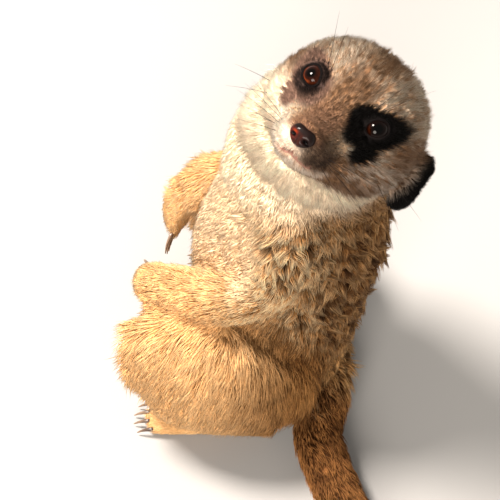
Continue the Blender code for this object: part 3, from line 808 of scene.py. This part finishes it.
def lay_under_coat(mesh, depth):
    """Moves the skin in by the coat's depth, but leaves it on the floor where it sits."""
    points = points_of(mesh)
    normals = normals_of(mesh)
    seated = ramp(points[:, 2] / MM, 4.0, 0.8) * ramp(-normals[:, 2], 0.5, 0.9)
    inwards = depth * (1.0 - seated * 0.9)
    points = points - normals * inwards[:, None] * MM
    points[:, 2] = np.maximum(points[:, 2], FLOOR_CLEARANCE * MM)
    move_points(mesh, points)


def gaze_of(side):
    outward, forward, up = GAZE
    return unit(np.array((side * outward, forward, up)) @ HEAD_AXES)


def lid_angles(offsets, side):
    """Angle from the line of sight, and the angle of the lid's edge in that direction."""
    gaze = gaze_of(side)
    slant = np.array((side * math.cos(LID_SLANT), 0.0, math.sin(LID_SLANT))) @ HEAD_AXES
    corner = unit(slant - gaze * slant.dot(gaze))
    rays = unit(offsets)
    angle = np.arccos(np.clip(rays @ gaze, -1.0, 1.0))
    aside = unit(rays - (rays @ gaze)[:, None] * gaze)
    edge = LID_OPENING + LID_CORNER * np.abs(aside @ corner) ** 4
    return angle, edge


def shape_lids(mesh):
    """Opens the skin over each eye and lays its rim on the ball as a lid."""
    points = points_of(mesh)
    for side, word in SIDES:
        centre = middle_of(f"eye_{word}")
        offsets = points - centre
        gaps = np.linalg.norm(offsets, axis=1) / MM
        near = gaps < LID_REACH
        angle, edge = lid_angles(offsets[near], side)
        rim = EYE_BALL + LID_THICKNESS
        past = np.degrees(angle - edge)
        lid = mix(rim, np.maximum(gaps[near], rim * 0.98), ramp(past, *LID_LEAVES_BALL))
        lid = mix(EYE_BALL - LID_TUCK, lid, ramp(past, *LID_ROLLS_IN))
        reach = mix(gaps[near], lid, ramp(gaps[near], LID_REACH, LID_REACH - LID_FADE))
        points[near] = centre + unit(offsets[near]) * reach[:, None] * MM
    move_points(mesh, points)


def mouth_places():
    """Points along the closed mouth, from corner to corner, in the head's axes."""
    half = np.array(MOUTH_LINE)
    line = np.concatenate((half[:0:-1] * (-1.0, 1.0, 1.0), half))
    runs = []
    for start, end in zip(line, line[1:]):
        steps = int(np.linalg.norm(end - start) / MOUTH_STEP)
        runs.append(start + (end - start) * np.linspace(0.0, 1.0, steps, endpoint=False)[:, None])
    return np.concatenate(runs)


class Mouth:
    """The mouth's line, laid on the skin."""

    def __init__(self, skin):
        bpy.context.view_layer.update()
        places = from_head(mouth_places())
        self.tree = KDTree(len(places))
        for index, place in enumerate(places):
            self.tree.insert(skin.closest_point_on_mesh(Vector(place))[1], index)
        self.tree.balance()

    def gap(self, points):
        """Distance from the line, in millimetres."""
        return np.array([self.tree.find(Vector(point))[2] for point in points]) / MM


def lip_width(points):
    return mix(*LIP_WIDTHS, ramp(to_head(points)[:, 1], 18.0, 23.0))


def crease_mouth(mesh, mouth):
    """Presses the closed mouth's line into the muzzle, between two low lips."""
    points = points_of(mesh)
    gap = mouth.gap(points)
    press = np.exp(-(gap / MOUTH_WIDTH) ** 2) * MOUTH_DEPTH
    lips = np.exp(-((gap - LIP_GAP) / LIP_SWELL[0]) ** 2) * LIP_SWELL[1]
    move_points(mesh, points + normals_of(mesh) * ((lips - press) * MM)[:, None])


def tuck_under_nose(mesh):
    """Draws the skin in behind the nose pad."""
    points = points_of(mesh)
    centre = nose_centre()
    offsets = points - centre
    places = offsets @ HEAD_AXES.T / MM / np.array(NOSE_SIZE)
    reach = np.maximum(np.linalg.norm(places, axis=1), 1e-6)
    tucked = mix(np.full(len(reach), 0.4), reach, ramp(reach, 0.98, 1.3)) / reach
    share = mix(np.ones(len(reach)), np.minimum(tucked, 1.0), ramp(places[:, 1], -0.6, 0.0))
    move_points(mesh, centre + offsets * share[:, None])


def skin_colours(mesh, fields):
    """The coat's root colours, with dark lids and pinkish lips; the two lids and the mouth's line hold
    painted light and shade.
    """
    points = points_of(mesh)
    gap = fields.mouth.gap(points)
    _, middle, root, _ = coat_colours(points, normals_of(mesh), fields.shares, fields.tipward, gap)
    bare = np.maximum(ramp(fields.length, 4.5, 2.6), 0.25)
    colours = mix(root, middle, bare) * (1.0 - 0.35 * ramp(fields.length, 4.0, 2.4)[:, None])
    for side, word in SIDES:
        offsets = points - middle_of(f"eye_{word}")
        angle, edge = lid_angles(offsets, side)
        close = np.linalg.norm(offsets, axis=1) < (LID_REACH - 1.0) * MM
        past = np.degrees(angle - edge)
        # painted light and shade: the right lid is grey as if lit, the left one black
        lid = mix(paint(66, 52, 48), paint(9, 7, 7), 0.5 + 0.5 * side)
        colours = mix(colours, lid, ramp(past, 40.0, 22.0) * close)
        colours = mix(colours, paint(12, 9, 9), ramp(past, 16.0, 8.0) * close)
    on_head = fields.shares["head"]
    width = lip_width(points)
    front = ramp(width, 0.7, 1.15)
    colours = mix(colours, mix(paint(48, 31, 26), LIP, front), ramp(gap, width + 0.6, width) * on_head)
    # painted shade in the mouth's crease: a dark line, near black at the corners
    line = mix(paint(22, 12, 10), paint(78, 48, 41), front)
    return mix(colours, line, ramp(gap, 0.7, 0.35) * on_head)


def unwrap(skin):
    """Lays the skin's own shape out flat; skin and coat share this map."""
    skin.data.uv_layers.new(name="OFBake")
    in_edit_mode(
        skin,
        lambda: bpy.ops.uv.smart_project(angle_limit=math.radians(66.0), island_margin=0.002),
    )


def make_skin():
    skin = joined_flesh()
    skin.name = "skin"
    skin.data.name = "skin"
    skin.data.materials.clear()
    apply_modifier(skin, "REMESH", mode="VOXEL", voxel_size=SKIN_GRAIN * MM, use_smooth_shade=True)
    apply_modifier(skin, "SMOOTH", factor=0.5, iterations=SKIN_SMOOTHING)
    eyes = [middle_of(f"eye_{word}") for _, word in SIDES]
    muzzle = [from_head((0.0, reach, -13.0)) for reach in (22.0, 8.0)]
    refine(skin, muzzle + eyes, FACE_REACH)
    refine(skin, eyes + [middle_of("nose"), from_head((0.0, 20.0, -20.0))], LID_REACH)
    apply_modifier(skin, "TRIANGULATE")
    fields = Fields(skin.data)
    lay_under_coat(skin.data, fields.depth)
    fields.mouth = Mouth(skin)
    crease_mouth(skin.data, fields.mouth)
    shape_lids(skin.data)
    tuck_under_nose(skin.data)
    unwrap(skin)
    set_colours(skin.data, "markings", skin_colours(skin.data, fields))
    skin.data.materials.append(skin_material())
    skin.data.shade_smooth()
    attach(skin, "root")
    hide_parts(*FLESH)
    return skin, fields


# ================================================================ coat
class Ground:
    """The skin as arrays, from which tufts take their roots."""

    def __init__(self, skin, fields):
        mesh = skin.data
        self.points = points_of(mesh)
        self.normals = normals_of(mesh)
        self.faces = read_rows(mesh.loops, "vertex_index", 1, np.int32).reshape(-1, 3)
        places = read_rows(mesh.uv_layers["OFBake"].data, "uv", 2)
        self.map = places.reshape(-1, 3, 2).astype(float)
        a, b, c = (self.points[self.faces[:, corner]] for corner in range(3))
        self.area = np.linalg.norm(np.cross(b - a, c - a), axis=1) / 2.0 / MM ** 2
        self.fields = fields
        self.owner = fields.owners[self.faces[:, 0]]

    def at(self, values, face, weights):
        """Values of the skin's points, carried over to places inside its faces."""
        corner_values = values[self.faces[face]]
        shape = weights.shape + (1,) * (corner_values.ndim - 2)
        return (corner_values * weights.reshape(shape)).sum(axis=1)


def bare_places(points, mouth):
    """Where no tuft grows: on the eye, the nose pad and the lips, and under the seat."""
    bare = points[:, 2] < 1.0 * MM
    for side, word in SIDES:
        offsets = points - middle_of(f"eye_{word}")
        angle, edge = lid_angles(offsets, side)
        close = np.linalg.norm(offsets, axis=1) < LID_REACH * MM
        bare |= close & (np.degrees(angle - edge) < LID_BARE)
    nose = (points - nose_centre()) @ HEAD_AXES.T / MM
    bare |= np.linalg.norm(nose / np.array(NOSE_SIZE), axis=1) < 0.85
    return bare | (mouth.gap(points) < lip_width(points))


class Roots:
    """Where the tufts of a piece grow."""

    def __init__(self, ground, face, weights, points):
        self.ground = ground
        self.face = face
        self.weights = weights
        self.points = points

    def __len__(self):
        return len(self.points)

    def at(self, values):
        return self.ground.at(values, self.face, self.weights)

    def field(self, name):
        return self.at(getattr(self.ground.fields, name))


def sow(ground, nodes, rng, side=0.0):
    """Roots for the tufts of some nodes, or of one side of the head."""
    wanted = np.isin(ground.owner, [FLESH.index(node) for node in nodes])
    if side:
        wanted &= to_head(ground.points[ground.faces[:, 0]])[:, 0] * side > 0.0
    density = ground.fields.density[ground.faces].mean(axis=1)
    weight = ground.area * density * wanted
    total = weight.sum()
    running = np.cumsum(weight)
    face = np.searchsorted(running, rng.random(int(total)) * total)
    face = np.minimum(face, len(weight) - 1)
    root = np.sqrt(rng.random(len(face)))
    slide = rng.random(len(face))
    weights = np.stack((1.0 - root, root * (1.0 - slide), root * slide), axis=1)
    points = ground.at(ground.points, face, weights)
    keep = ~bare_places(points, ground.fields.mouth)
    return Roots(ground, face[keep], weights[keep], points[keep])


def scattered(values, spread, rng):
    """The values, each times a random share."""
    least, more = spread
    return values * (least + more * rng.random(len(values)))


def lay(flow, normals):
    """The flow laid flat on the surface."""
    return unit(flow - (flow * normals).sum(axis=1, keepdims=True) * normals)


def gathered(points, tips, gaps, per_lock, pulls, rng):
    """Draws the tips of neighbouring tufts together into pointed locks.

    Gives the tips, each tuft's leader, how firmly it holds to it, and 1 at the rim of a lock.
    """
    leaders = np.flatnonzero(rng.random(len(points)) * per_lock < 1.0)
    tree = KDTree(len(leaders))
    for index in leaders:
        tree.insert(Vector(points[index]), int(index))
    tree.balance()
    found = [tree.find(Vector(point)) for point in points]
    leader = np.array([index for _, index, _ in found])
    outwards = np.array([gap for _, _, gap in found]) / MM / gaps
    hold = scattered(pulls, HOLD_SPREAD, rng)
    return mix(tips, tips[leader], hold), leader, hold, ramp(outwards, 0.25, 0.7) * pulls


def tuft_paths(roots, rng):
    """Root, middle and tip of each tuft, lying along the body and rising a little."""
    count = len(roots)
    normals = unit(roots.at(roots.ground.normals))
    flow = lay(roots.field("flow"), normals)
    aside = np.cross(normals, flow)
    length = scattered(roots.field("length"), LENGTH_SPREAD, rng)
    lift = np.radians(scattered(roots.field("lift"), LIFT_SPREAD, rng))
    pulls = roots.field("pull")
    gaps = roots.field("clump")
    per_lock = gaps ** 2 * roots.field("density")
    turn = rng.normal(0.0, 1.0, count) * (0.08 + 0.42 * pulls)
    heading = unit(flow + aside * turn[:, None])
    rise = np.sin(lift)[:, None] * normals
    first = unit(heading * np.cos(lift)[:, None] + rise * 1.35)
    second = unit(heading * np.cos(lift * 0.5)[:, None] + rise * 0.45
                  + aside * rng.normal(0.0, 0.1, count)[:, None])
    middle = roots.points + first * (length * 0.5 * MM)[:, None]
    tip = middle + second * (length * 0.5 * MM)[:, None]
    tip, leader, hold, rim = gathered(roots.points, tip, gaps, per_lock, pulls, rng)
    middle = mix(middle, middle[leader], hold * 0.55)
    tip = mix(tip, middle, rim * LOCK_TAPER)
    return normals, heading, middle, tip, leader, rim


def tuft_colours(roots, normals, leader, rim, rng):
    """Root, middle and tip colour of each tuft; some tufts are dark, as the coat is grizzled."""
    fields = roots.ground.fields
    shares = {name: roots.at(share) for name, share in fields.shares.items()}
    gap = fields.mouth.gap(roots.points)
    tip, middle, root, dark = coat_colours(roots.points, normals, shares, roots.field("tipward"), gap)
    lot = rng.random(len(roots))
    lot = mix(lot, lot[leader], 0.7 * (roots.field("pull") > 0.05))
    is_dark = ramp(lot, dark + DARK_EDGE, dark - DARK_EDGE)
    # tufts at a lock's rim take the roots' colour, partly as painted shade between locks
    tip = mix(mix(tip, middle * 0.7, is_dark), root, rim * LOCK_SHADE)
    middle = mix(mix(middle, middle * 0.6, is_dark), root, rim * LOCK_SHADE)
    tone = 1.0 + rng.normal(0.0, HAIR_TONES, len(roots))
    tone = tone + rng.normal(0.0, LOCK_TONES, len(roots))[leader]
    tone = np.clip(tone, *TONE_RANGE)[:, None]
    between = mix(middle, tip, 0.3 * rng.random(len(roots)))
    return np.clip(root * tone, 0, 1), np.clip(between * tone, 0, 1), np.clip(tip * tone, 0, 0.95)


ROOT_DEPTH = 0.35              # how far a tuft starts under the skin
ROOT_RING = (0.5, 0.32)        # half width and half height, as shares of the tuft's thickness
MIDDLE_RING = (0.46, 0.26)
PATCH = 0.003                  # size of a tuft's patch on the map
# the tuft's corners on the patch, as shares of its size
PATCH_PLACES = np.array(((-0.5, -0.5), (0.5, -0.5), (0.0, -0.33), (-0.4, 0.0), (0.4, 0.0),
                         (0.0, 0.13), (0.0, 0.5)))
LONG_FACES = np.array(((0, 2, 1), (0, 1, 4), (0, 4, 3), (1, 2, 5), (1, 5, 4), (2, 0, 3), (2, 3, 5),
                       (3, 4, 6), (4, 5, 6), (5, 3, 6)))
SHORT_CORNERS = (0, 1, 2, 6)
SHORT_FACES = np.array(((0, 2, 1), (0, 1, 3), (1, 2, 3), (2, 0, 3)))


def ring_round(centre, along, normals, thick, shape):
    """Three corners round a tuft, counter-clockwise as seen from its tip."""
    width, height = (thick * share for share in shape)
    up = unit(normals - (normals * along).sum(axis=1, keepdims=True) * along)
    side = np.cross(along, up)
    corners = []
    for angle in (0.0, 2.0 * math.pi / 3.0, 4.0 * math.pi / 3.0):
        offset = up * (math.cos(angle) * height)[:, None] + side * (math.sin(angle) * width)[:, None]
        corners.append(centre + offset * MM)
    return corners


def tuft_mesh(name, corners, faces, colours, places):
    """One mesh of many like tufts; corners, colours and places hold one row per tuft."""
    count, per_tuft = corners.shape[:2]
    mesh = bpy.data.meshes.new(name)
    mesh.vertices.add(count * per_tuft)
    mesh.vertices.foreach_set("co", corners.astype(np.float32).ravel())
    starts = np.arange(count)[:, None, None] * per_tuft
    loops = (starts + faces[None]).reshape(-1).astype(np.int32)
    mesh.loops.add(len(loops))
    mesh.loops.foreach_set("vertex_index", loops)
    mesh.polygons.add(len(loops) // 3)
    mesh.polygons.foreach_set("loop_start", np.arange(0, len(loops), 3, dtype=np.int32))
    mesh.update(calc_edges=True)
    layer = mesh.uv_layers.new(name="OFBake")
    layer.data.foreach_set("uv", places.reshape(-1, 2)[loops].astype(np.float32).ravel())
    set_colours(mesh, "markings", colours.reshape(-1, 3))
    mesh.shade_smooth()
    return mesh


def grow(name, ground, nodes, hair, rng, side=0.0, short=False):
    """A piece of coat over some nodes."""
    roots = sow(ground, nodes, rng, side)
    normals, heading, middle, tip, leader, rim = tuft_paths(roots, rng)
    low, mid, high = tuft_colours(roots, normals, leader, rim, rng)
    thick = scattered(roots.field("thick"), THICK_SPREAD, rng)
    base = roots.points - normals * (ROOT_DEPTH * MM)
    corners = ring_round(base, heading, normals, thick, ROOT_RING)
    tones = [low] * 3
    if not short:
        corners += ring_round(middle, unit(tip - base), normals, thick, MIDDLE_RING)
        tones += [mid] * 3
    corners.append(tip)
    tones.append(high if not short else mix(mid, high, 0.85))
    corners = np.stack(corners, axis=1)
    corners[..., 2] = np.maximum(corners[..., 2], FLOOR_CLEARANCE * MM)
    picks = list(SHORT_CORNERS) if short else list(range(len(PATCH_PLACES)))
    spot = (ground.map[roots.face] * roots.weights[..., None]).sum(axis=1)
    places = spot[:, None] + PATCH_PLACES[picks][None] * PATCH
    faces = SHORT_FACES if short else LONG_FACES
    mesh = tuft_mesh(name, corners, faces, np.stack(tones, axis=1), places)
    piece = new_object(name, mesh)
    mesh.materials.append(hair)
    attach(piece, "root")
    print(f"{name}: {len(roots)} tufts, {len(mesh.polygons)} triangles")


def make_coat(skin, fields):
    ground = Ground(skin, fields)
    hair = coat_material()
    rng = np.random.default_rng(SEED)
    for side, word in SIDES:
        grow(f"coat_head_{word}", ground, ("head",), hair, rng, side=side, short=True)
    for node in ("neck", "chest", "belly", "pelvis"):
        grow(f"coat_{node}", ground, (node,), hair, rng)
    grow("coat_tail", ground, TAIL[:-1], hair, rng)
    grow("coat_tail_tip", ground, TAIL[-1:], hair, rng)
    for _, word in SIDES:
        arm = (f"upper_arm_{word}", f"forearm_{word}")
        grow(f"coat_arm_{word}", ground, arm, hair, rng)
        grow(f"coat_haunch_{word}", ground, (f"thigh_{word}",), hair, rng)
        grow(f"coat_shank_{word}", ground, (f"shank_{word}",), hair, rng)
        feet = (f"forepaw_{word}", f"hind_foot_{word}")
        grow(f"coat_feet_{word}", ground, feet, hair, rng, short=True)
        grow(f"coat_ear_{word}", ground, (f"ear_{word}",), hair, rng, short=True)


# ================================================================ eyes, nose, claws, whiskers
EYE_SHADE_TONES = {"left": 0.15, "right": 1.0}      # painted shade: the left eye is the darker
GLOW_SIDE = (-0.745, 0.34, -0.573)           # where painted light glows in the iris, as if light fell through it
GLOW_COMES = (30.0, 38.0)                    # degrees from the line of sight
GLOW_GOES = (46.0, 41.0)
CORNEA_EDGE = 62.0


def make_eye(side, word, wet):
    """A ball with a raised clear front over the iris."""
    centre = middle_of(f"eye_{word}")
    gaze = gaze_of(side)
    turn = Vector(gaze).to_track_quat("Z", "Y").to_euler()
    bpy.ops.object.select_all(action="DESELECT")
    bpy.ops.mesh.primitive_uv_sphere_add(segments=64, ring_count=48, radius=EYE_BALL * MM,
                                         location=centre, rotation=turn)
    eye = bpy.context.object
    eye.name = f"eyeball_{word}"
    bpy.ops.object.transform_apply(location=True, rotation=True, scale=True)
    points = points_of(eye.data)
    rays = unit(points - centre)
    angle = np.degrees(np.arccos(np.clip(rays @ gaze, -1.0, 1.0)))
    rise = CORNEA_RISE * ramp(angle, CORNEA_EDGE, 8.0)
    move_points(eye.data, centre + rays * ((EYE_BALL + rise) * MM)[:, None])
    set_values(eye.data, "from_pupil", angle / CORNEA_EDGE)
    lit = ramp(rays @ (np.array(GLOW_SIDE) @ HEAD_AXES) / np.sin(np.radians(angle + 1.0)), 0.5, 0.9)
    set_values(eye.data, "glow", lit * ramp(angle, *GLOW_COMES) * ramp(angle, *GLOW_GOES))
    eye.data.materials.append(wet)
    eye.data.shade_smooth()
    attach(eye, "root")
    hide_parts(f"eye_{word}")


NOSTRIL = (0.54, -0.12)                      # aside and up, as shares of the size
NOSTRIL_SIZE = 0.19
NOSTRIL_DEPTH = 0.4


def make_nose():
    """A moist pad with comma nostrils and a crease down to the lip, coloured with painted light and
    shade.
    """
    centre = nose_centre()
    bpy.ops.object.select_all(action="DESELECT")
    bpy.ops.mesh.primitive_uv_sphere_add(segments=96, ring_count=64, radius=1.0)
    nose = bpy.context.object
    nose.name = "nose_pad"
    shape = points_of(nose.data)
    aside, forward, up = shape.T
    across = np.abs(aside)
    narrow = 1.0 - 0.16 * ramp(up, 0.0, -0.9)
    flat = 1.0 - 0.16 * ramp(forward, 0.55, 1.0)
    bow = 0.05 * ramp(across, 0.4, 0.0) * ramp(up, 0.2, 0.9)
    comma = np.hypot((across - NOSTRIL[0]) / 1.2, up - NOSTRIL[1])
    slit = np.hypot((across - 0.8) / 1.8, (up + 0.26) * 2.4)
    hollow = np.maximum(np.exp(-(comma / NOSTRIL_SIZE) ** 2), 0.7 * np.exp(-(slit / 0.24) ** 2))
    hollow = hollow * ramp(forward, 0.15, 0.5)
    crease = np.exp(-(across / 0.09) ** 2) * ramp(up, 0.35, 0.0) * ramp(forward, 0.0, 0.4)
    shaped = np.stack((
        aside * narrow * (1.0 - hollow * 0.1),
        forward * flat - hollow * NOSTRIL_DEPTH - crease * 0.14,
        up * (1.0 - bow),
    ), axis=1)
    shaped = shaped * np.array(NOSE_SIZE)
    move_points(nose.data, centre + shaped * MM @ HEAD_AXES)
    # painted light and shade: redder on the right side, darker on the left
    colours = mix(paint(58, 18, 11), paint(38, 14, 10), ramp(aside, -0.65, 0.1))
    colours = mix(colours, paint(13, 8, 7), ramp(aside, 0.0, 0.7) * 0.8)
    colours = mix(colours, paint(18, 9, 8), ramp(up, 0.15, 0.55))
    # painted light: a red-orange spot on the right, as if light shone through the skin
    lit_spot = np.exp(-(np.hypot(aside + 0.5, up - 0.16) / 0.16) ** 2)
    colours = mix(colours, paint(140, 46, 18), lit_spot * ramp(forward, 0.2, 0.5))
    # painted shade in the nostrils
    colours = mix(colours, paint(4, 2, 2), ramp(hollow, 0.2, 0.6))
    # painted shade in the crease down to the lip
    colours = mix(colours, paint(46, 22, 18), crease * 0.8)
    set_colours(nose.data, "markings", colours)
    nose.data.materials.append(nose_material())
    in_edit_mode(nose, lambda: bpy.ops.mesh.normals_make_consistent(inside=False))
    nose.data.shade_smooth()
    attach(nose, "root")
    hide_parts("nose")


def make_claws(foot, word, horn):
    """The four claws of a foot, smoothed from the frame's own."""
    nodes = [f"claw_{foot}_{word}_{number}" for number in range(1, 5)]
    copies = [new_object(f"copy_{node}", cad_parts[node].data.copy()) for node in nodes]
    select_only(*copies)
    bpy.ops.object.join()
    claws = copies[0]
    claws.name = f"claws_{foot}_{word}"
    claws.data.name = claws.name
    claws.data.materials.clear()
    in_edit_mode(claws, lambda: bpy.ops.mesh.remove_doubles(threshold=WELD_GAP))
    apply_modifier(claws, "SUBSURF", levels=2, render_levels=2)
    points = points_of(claws.data)
    low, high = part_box(nodes[0])
    reach = ramp(points[:, 1], high[1], low[1])
    set_colours(claws.data, "markings", mix(paint(58, 42, 34), paint(120, 98, 80), reach))
    claws.data.materials.append(horn)
    claws.data.shade_smooth()
    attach(claws, "root")
    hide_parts(*nodes)


# root in the head's axes, heading (outwards, forwards, up) and length, for the left side
WHISKERS = (
    ((8.5, 21.0, -14.5), (1.0, -0.1, 0.12), 24.0),
    ((9.5, 18.5, -16.5), (1.0, -0.3, -0.05), 27.0),
    ((10.2, 16.0, -18.0), (1.0, -0.45, -0.25), 26.0),
    ((9.0, 19.5, -18.5), (1.0, -0.2, -0.4), 21.0),
    ((11.2, 13.5, -16.0), (1.0, -0.65, 0.05), 29.0),
    ((11.8, 11.5, -19.0), (0.9, -0.7, -0.4), 25.0),
    ((11.0, 3.5, 6.5), (0.25, 0.1, 1.0), 21.0),
    ((13.5, 1.5, 7.5), (0.5, -0.1, 1.0), 23.0),
    ((27.5, -9.0, -14.0), (1.0, -0.35, -0.25), 22.0),
    ((26.5, -6.5, -17.5), (1.0, -0.2, -0.5), 20.0),
)
WHISKER_THICKNESS = 0.13
WHISKER_STEPS = 9
WHISKER_SIDES = 5
WHISKER_DROOP = 0.16           # share of the length by which the end falls
WHISKER_FALL = (0.0, -0.7, -0.6)             # and which way


def whisker_rings(root, heading, length, droop):
    """A tapering hair that bends back and down."""
    rings = []
    heading = unit(heading)
    side = unit(np.cross(heading, droop))
    up = np.cross(side, heading)
    for step in range(WHISKER_STEPS + 1):
        share = step / WHISKER_STEPS
        centre = root + heading * length * share + droop * length * WHISKER_DROOP * share ** 2
        radius = WHISKER_THICKNESS * (1.0 - 0.85 * share)
        angles = np.arange(WHISKER_SIDES) * 2.0 * math.pi / WHISKER_SIDES
        circle = np.cos(angles)[:, None] * side + np.sin(angles)[:, None] * up
        rings.append(centre + circle * radius)
    return rings


def make_whiskers():
    corners, faces = [], []
    droop = unit(np.array(WHISKER_FALL))
    for side, _ in SIDES:
        flip = np.array((side, 1.0, 1.0))
        for root, heading, length in WHISKERS:
            start = len(corners)
            rings = whisker_rings(np.array(root) * flip, np.array(heading) * flip, length, droop)
            for ring in rings:
                corners.extend(from_head(ring))
            for row in range(WHISKER_STEPS):
                for spoke in range(WHISKER_SIDES):
                    after = (spoke + 1) % WHISKER_SIDES
                    near = start + row * WHISKER_SIDES
                    far = near + WHISKER_SIDES
                    faces.append((near + spoke, near + after, far + after, far + spoke))
            faces.append(tuple(start + spoke for spoke in reversed(range(WHISKER_SIDES))))
            last = start + WHISKER_STEPS * WHISKER_SIDES
            faces.append(tuple(last + spoke for spoke in range(WHISKER_SIDES)))
    mesh = bpy.data.meshes.new("whiskers")
    mesh.from_pydata([tuple(corner) for corner in corners], [], faces)
    whiskers = new_object("whiskers", mesh)
    set_colours(mesh, "markings", np.tile(paint(24, 18, 16), (len(corners), 1)))
    mesh.materials.append(whisker_material())
    in_edit_mode(whiskers, lambda: bpy.ops.mesh.normals_make_consistent(inside=False))
    mesh.shade_smooth()
    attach(whiskers, "root")


# ================================================================ stage
VIEW_AZIMUTH = math.radians(98.0)
VIEW_ELEVATION = math.radians(57.0)
VIEW_ROLL = math.radians(3.0)
VIEW_DISTANCE = 880.0
VIEW_WIDTH = 187.5             # how much the view takes in at the head, across
HEAD_RIGHT_OF_MIDDLE = 35.6
HEAD_ABOVE_MIDDLE = 54.7
SENSOR = 36.0
LAMP_DISTANCE = 3.2            # metres from the middle of the animal
KEY_LAMP = (0.9, 300.0, (1.0, 0.9, 0.81))    # metres across, watts, colour
FILL_LAMP = (1.6, 145.0, (1.0, 0.91, 0.81))
STUDIO_TONE = (1.0, 0.93, 0.85, 1.0)
STUDIO_STRENGTH = 0.6


def view_axes():
    """The camera's right, up and back directions."""
    right = np.array((math.cos(VIEW_AZIMUTH), math.sin(VIEW_AZIMUTH), 0.0))
    back = np.array((
        math.sin(VIEW_AZIMUTH) * math.cos(VIEW_ELEVATION),
        -math.cos(VIEW_AZIMUTH) * math.cos(VIEW_ELEVATION),
        math.sin(VIEW_ELEVATION),
    ))
    up = np.cross(back, right)
    rolled_right = right * math.cos(VIEW_ROLL) + up * math.sin(VIEW_ROLL)
    rolled_up = up * math.cos(VIEW_ROLL) - right * math.sin(VIEW_ROLL)
    return rolled_right, rolled_up, back


def make_camera():
    right, up, back = view_axes()
    aim = HEAD_ORIGIN - (right * HEAD_RIGHT_OF_MIDDLE + up * HEAD_ABOVE_MIDDLE) * MM
    place = aim + back * VIEW_DISTANCE * MM
    camera = bpy.data.cameras.new("camera")
    camera.sensor_width = SENSOR
    camera.lens = SENSOR * VIEW_DISTANCE / VIEW_WIDTH
    camera.clip_start = 0.01
    holder = new_object("camera", camera)
    matrix = Matrix.Identity(4)
    for column, axis in enumerate((right, up, back, place)):
        for row in range(3):
            matrix[row][column] = axis[row]
    holder.matrix_world = matrix
    bpy.context.scene.camera = holder


def area_light(name, direction, size, power, colour):
    """A soft lamp that shines at the middle of the animal."""
    low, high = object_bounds()
    middle = (np.array(low) + np.array(high)) / 2.0
    lamp = bpy.data.lights.new(name, "AREA")
    lamp.shape = "DISK"
    lamp.size = size
    lamp.energy = power
    lamp.color = colour
    holder = new_object(name, lamp)
    aim = unit(np.array(direction, float))
    holder.location = middle + aim * LAMP_DISTANCE
    holder.rotation_euler = Vector(aim).to_track_quat("Z", "Y").to_euler()


def floor_material():
    made, nodes, links, shader = material("pale_floor", 0.75)
    plain = nodes.new("ShaderNodeMapRange")
    plain.inputs["To Min"].default_value = 0.3
    plain.inputs["To Max"].default_value = 0.33
    links.new(noise(nodes, links, 6.0), plain.inputs["Value"])
    blend = nodes.new("ShaderNodeCombineColor")
    for channel in ("Red", "Green", "Blue"):
        links.new(plain.outputs["Result"], blend.inputs[channel])
    links.new(blend.outputs["Color"], shader.inputs["Base Color"])
    return made


def make_stage():
    bpy.ops.object.select_all(action="DESELECT")
    bpy.ops.mesh.primitive_plane_add(size=8.0, location=(0.0, 0.0, 0.0))
    floor = bpy.context.object
    floor.name = "floor"
    floor.data.materials.append(floor_material())
    floor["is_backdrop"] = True
    right, up, back = view_axes()
    key = back * 0.7 - right * 0.45 + up * 0.65
    area_light("key", key, *KEY_LAMP)
    fill = back - right * 0.25 - up * 0.5
    area_light("fill", fill, *FILL_LAMP)
    world = bpy.data.worlds.new("studio")
    bpy.context.scene.world = world
    world.use_nodes = True
    background = world.node_tree.nodes["Background"]
    background.inputs["Color"].default_value = STUDIO_TONE
    background.inputs["Strength"].default_value = STUDIO_STRENGTH
    bpy.context.scene.view_settings.view_transform = "Standard"


# ================================================================ making
make_camera()
skin, skin_fields = make_skin()
make_coat(skin, skin_fields)
claw_horn = claw_material()
for eye_side, eye_word in SIDES:
    make_eye(eye_side, eye_word, eye_material(eye_word, EYE_SHADE_TONES[eye_word]))
    make_claws("front", eye_word, claw_horn)
    make_claws("hind", eye_word, claw_horn)
make_nose()
make_whiskers()
make_stage()
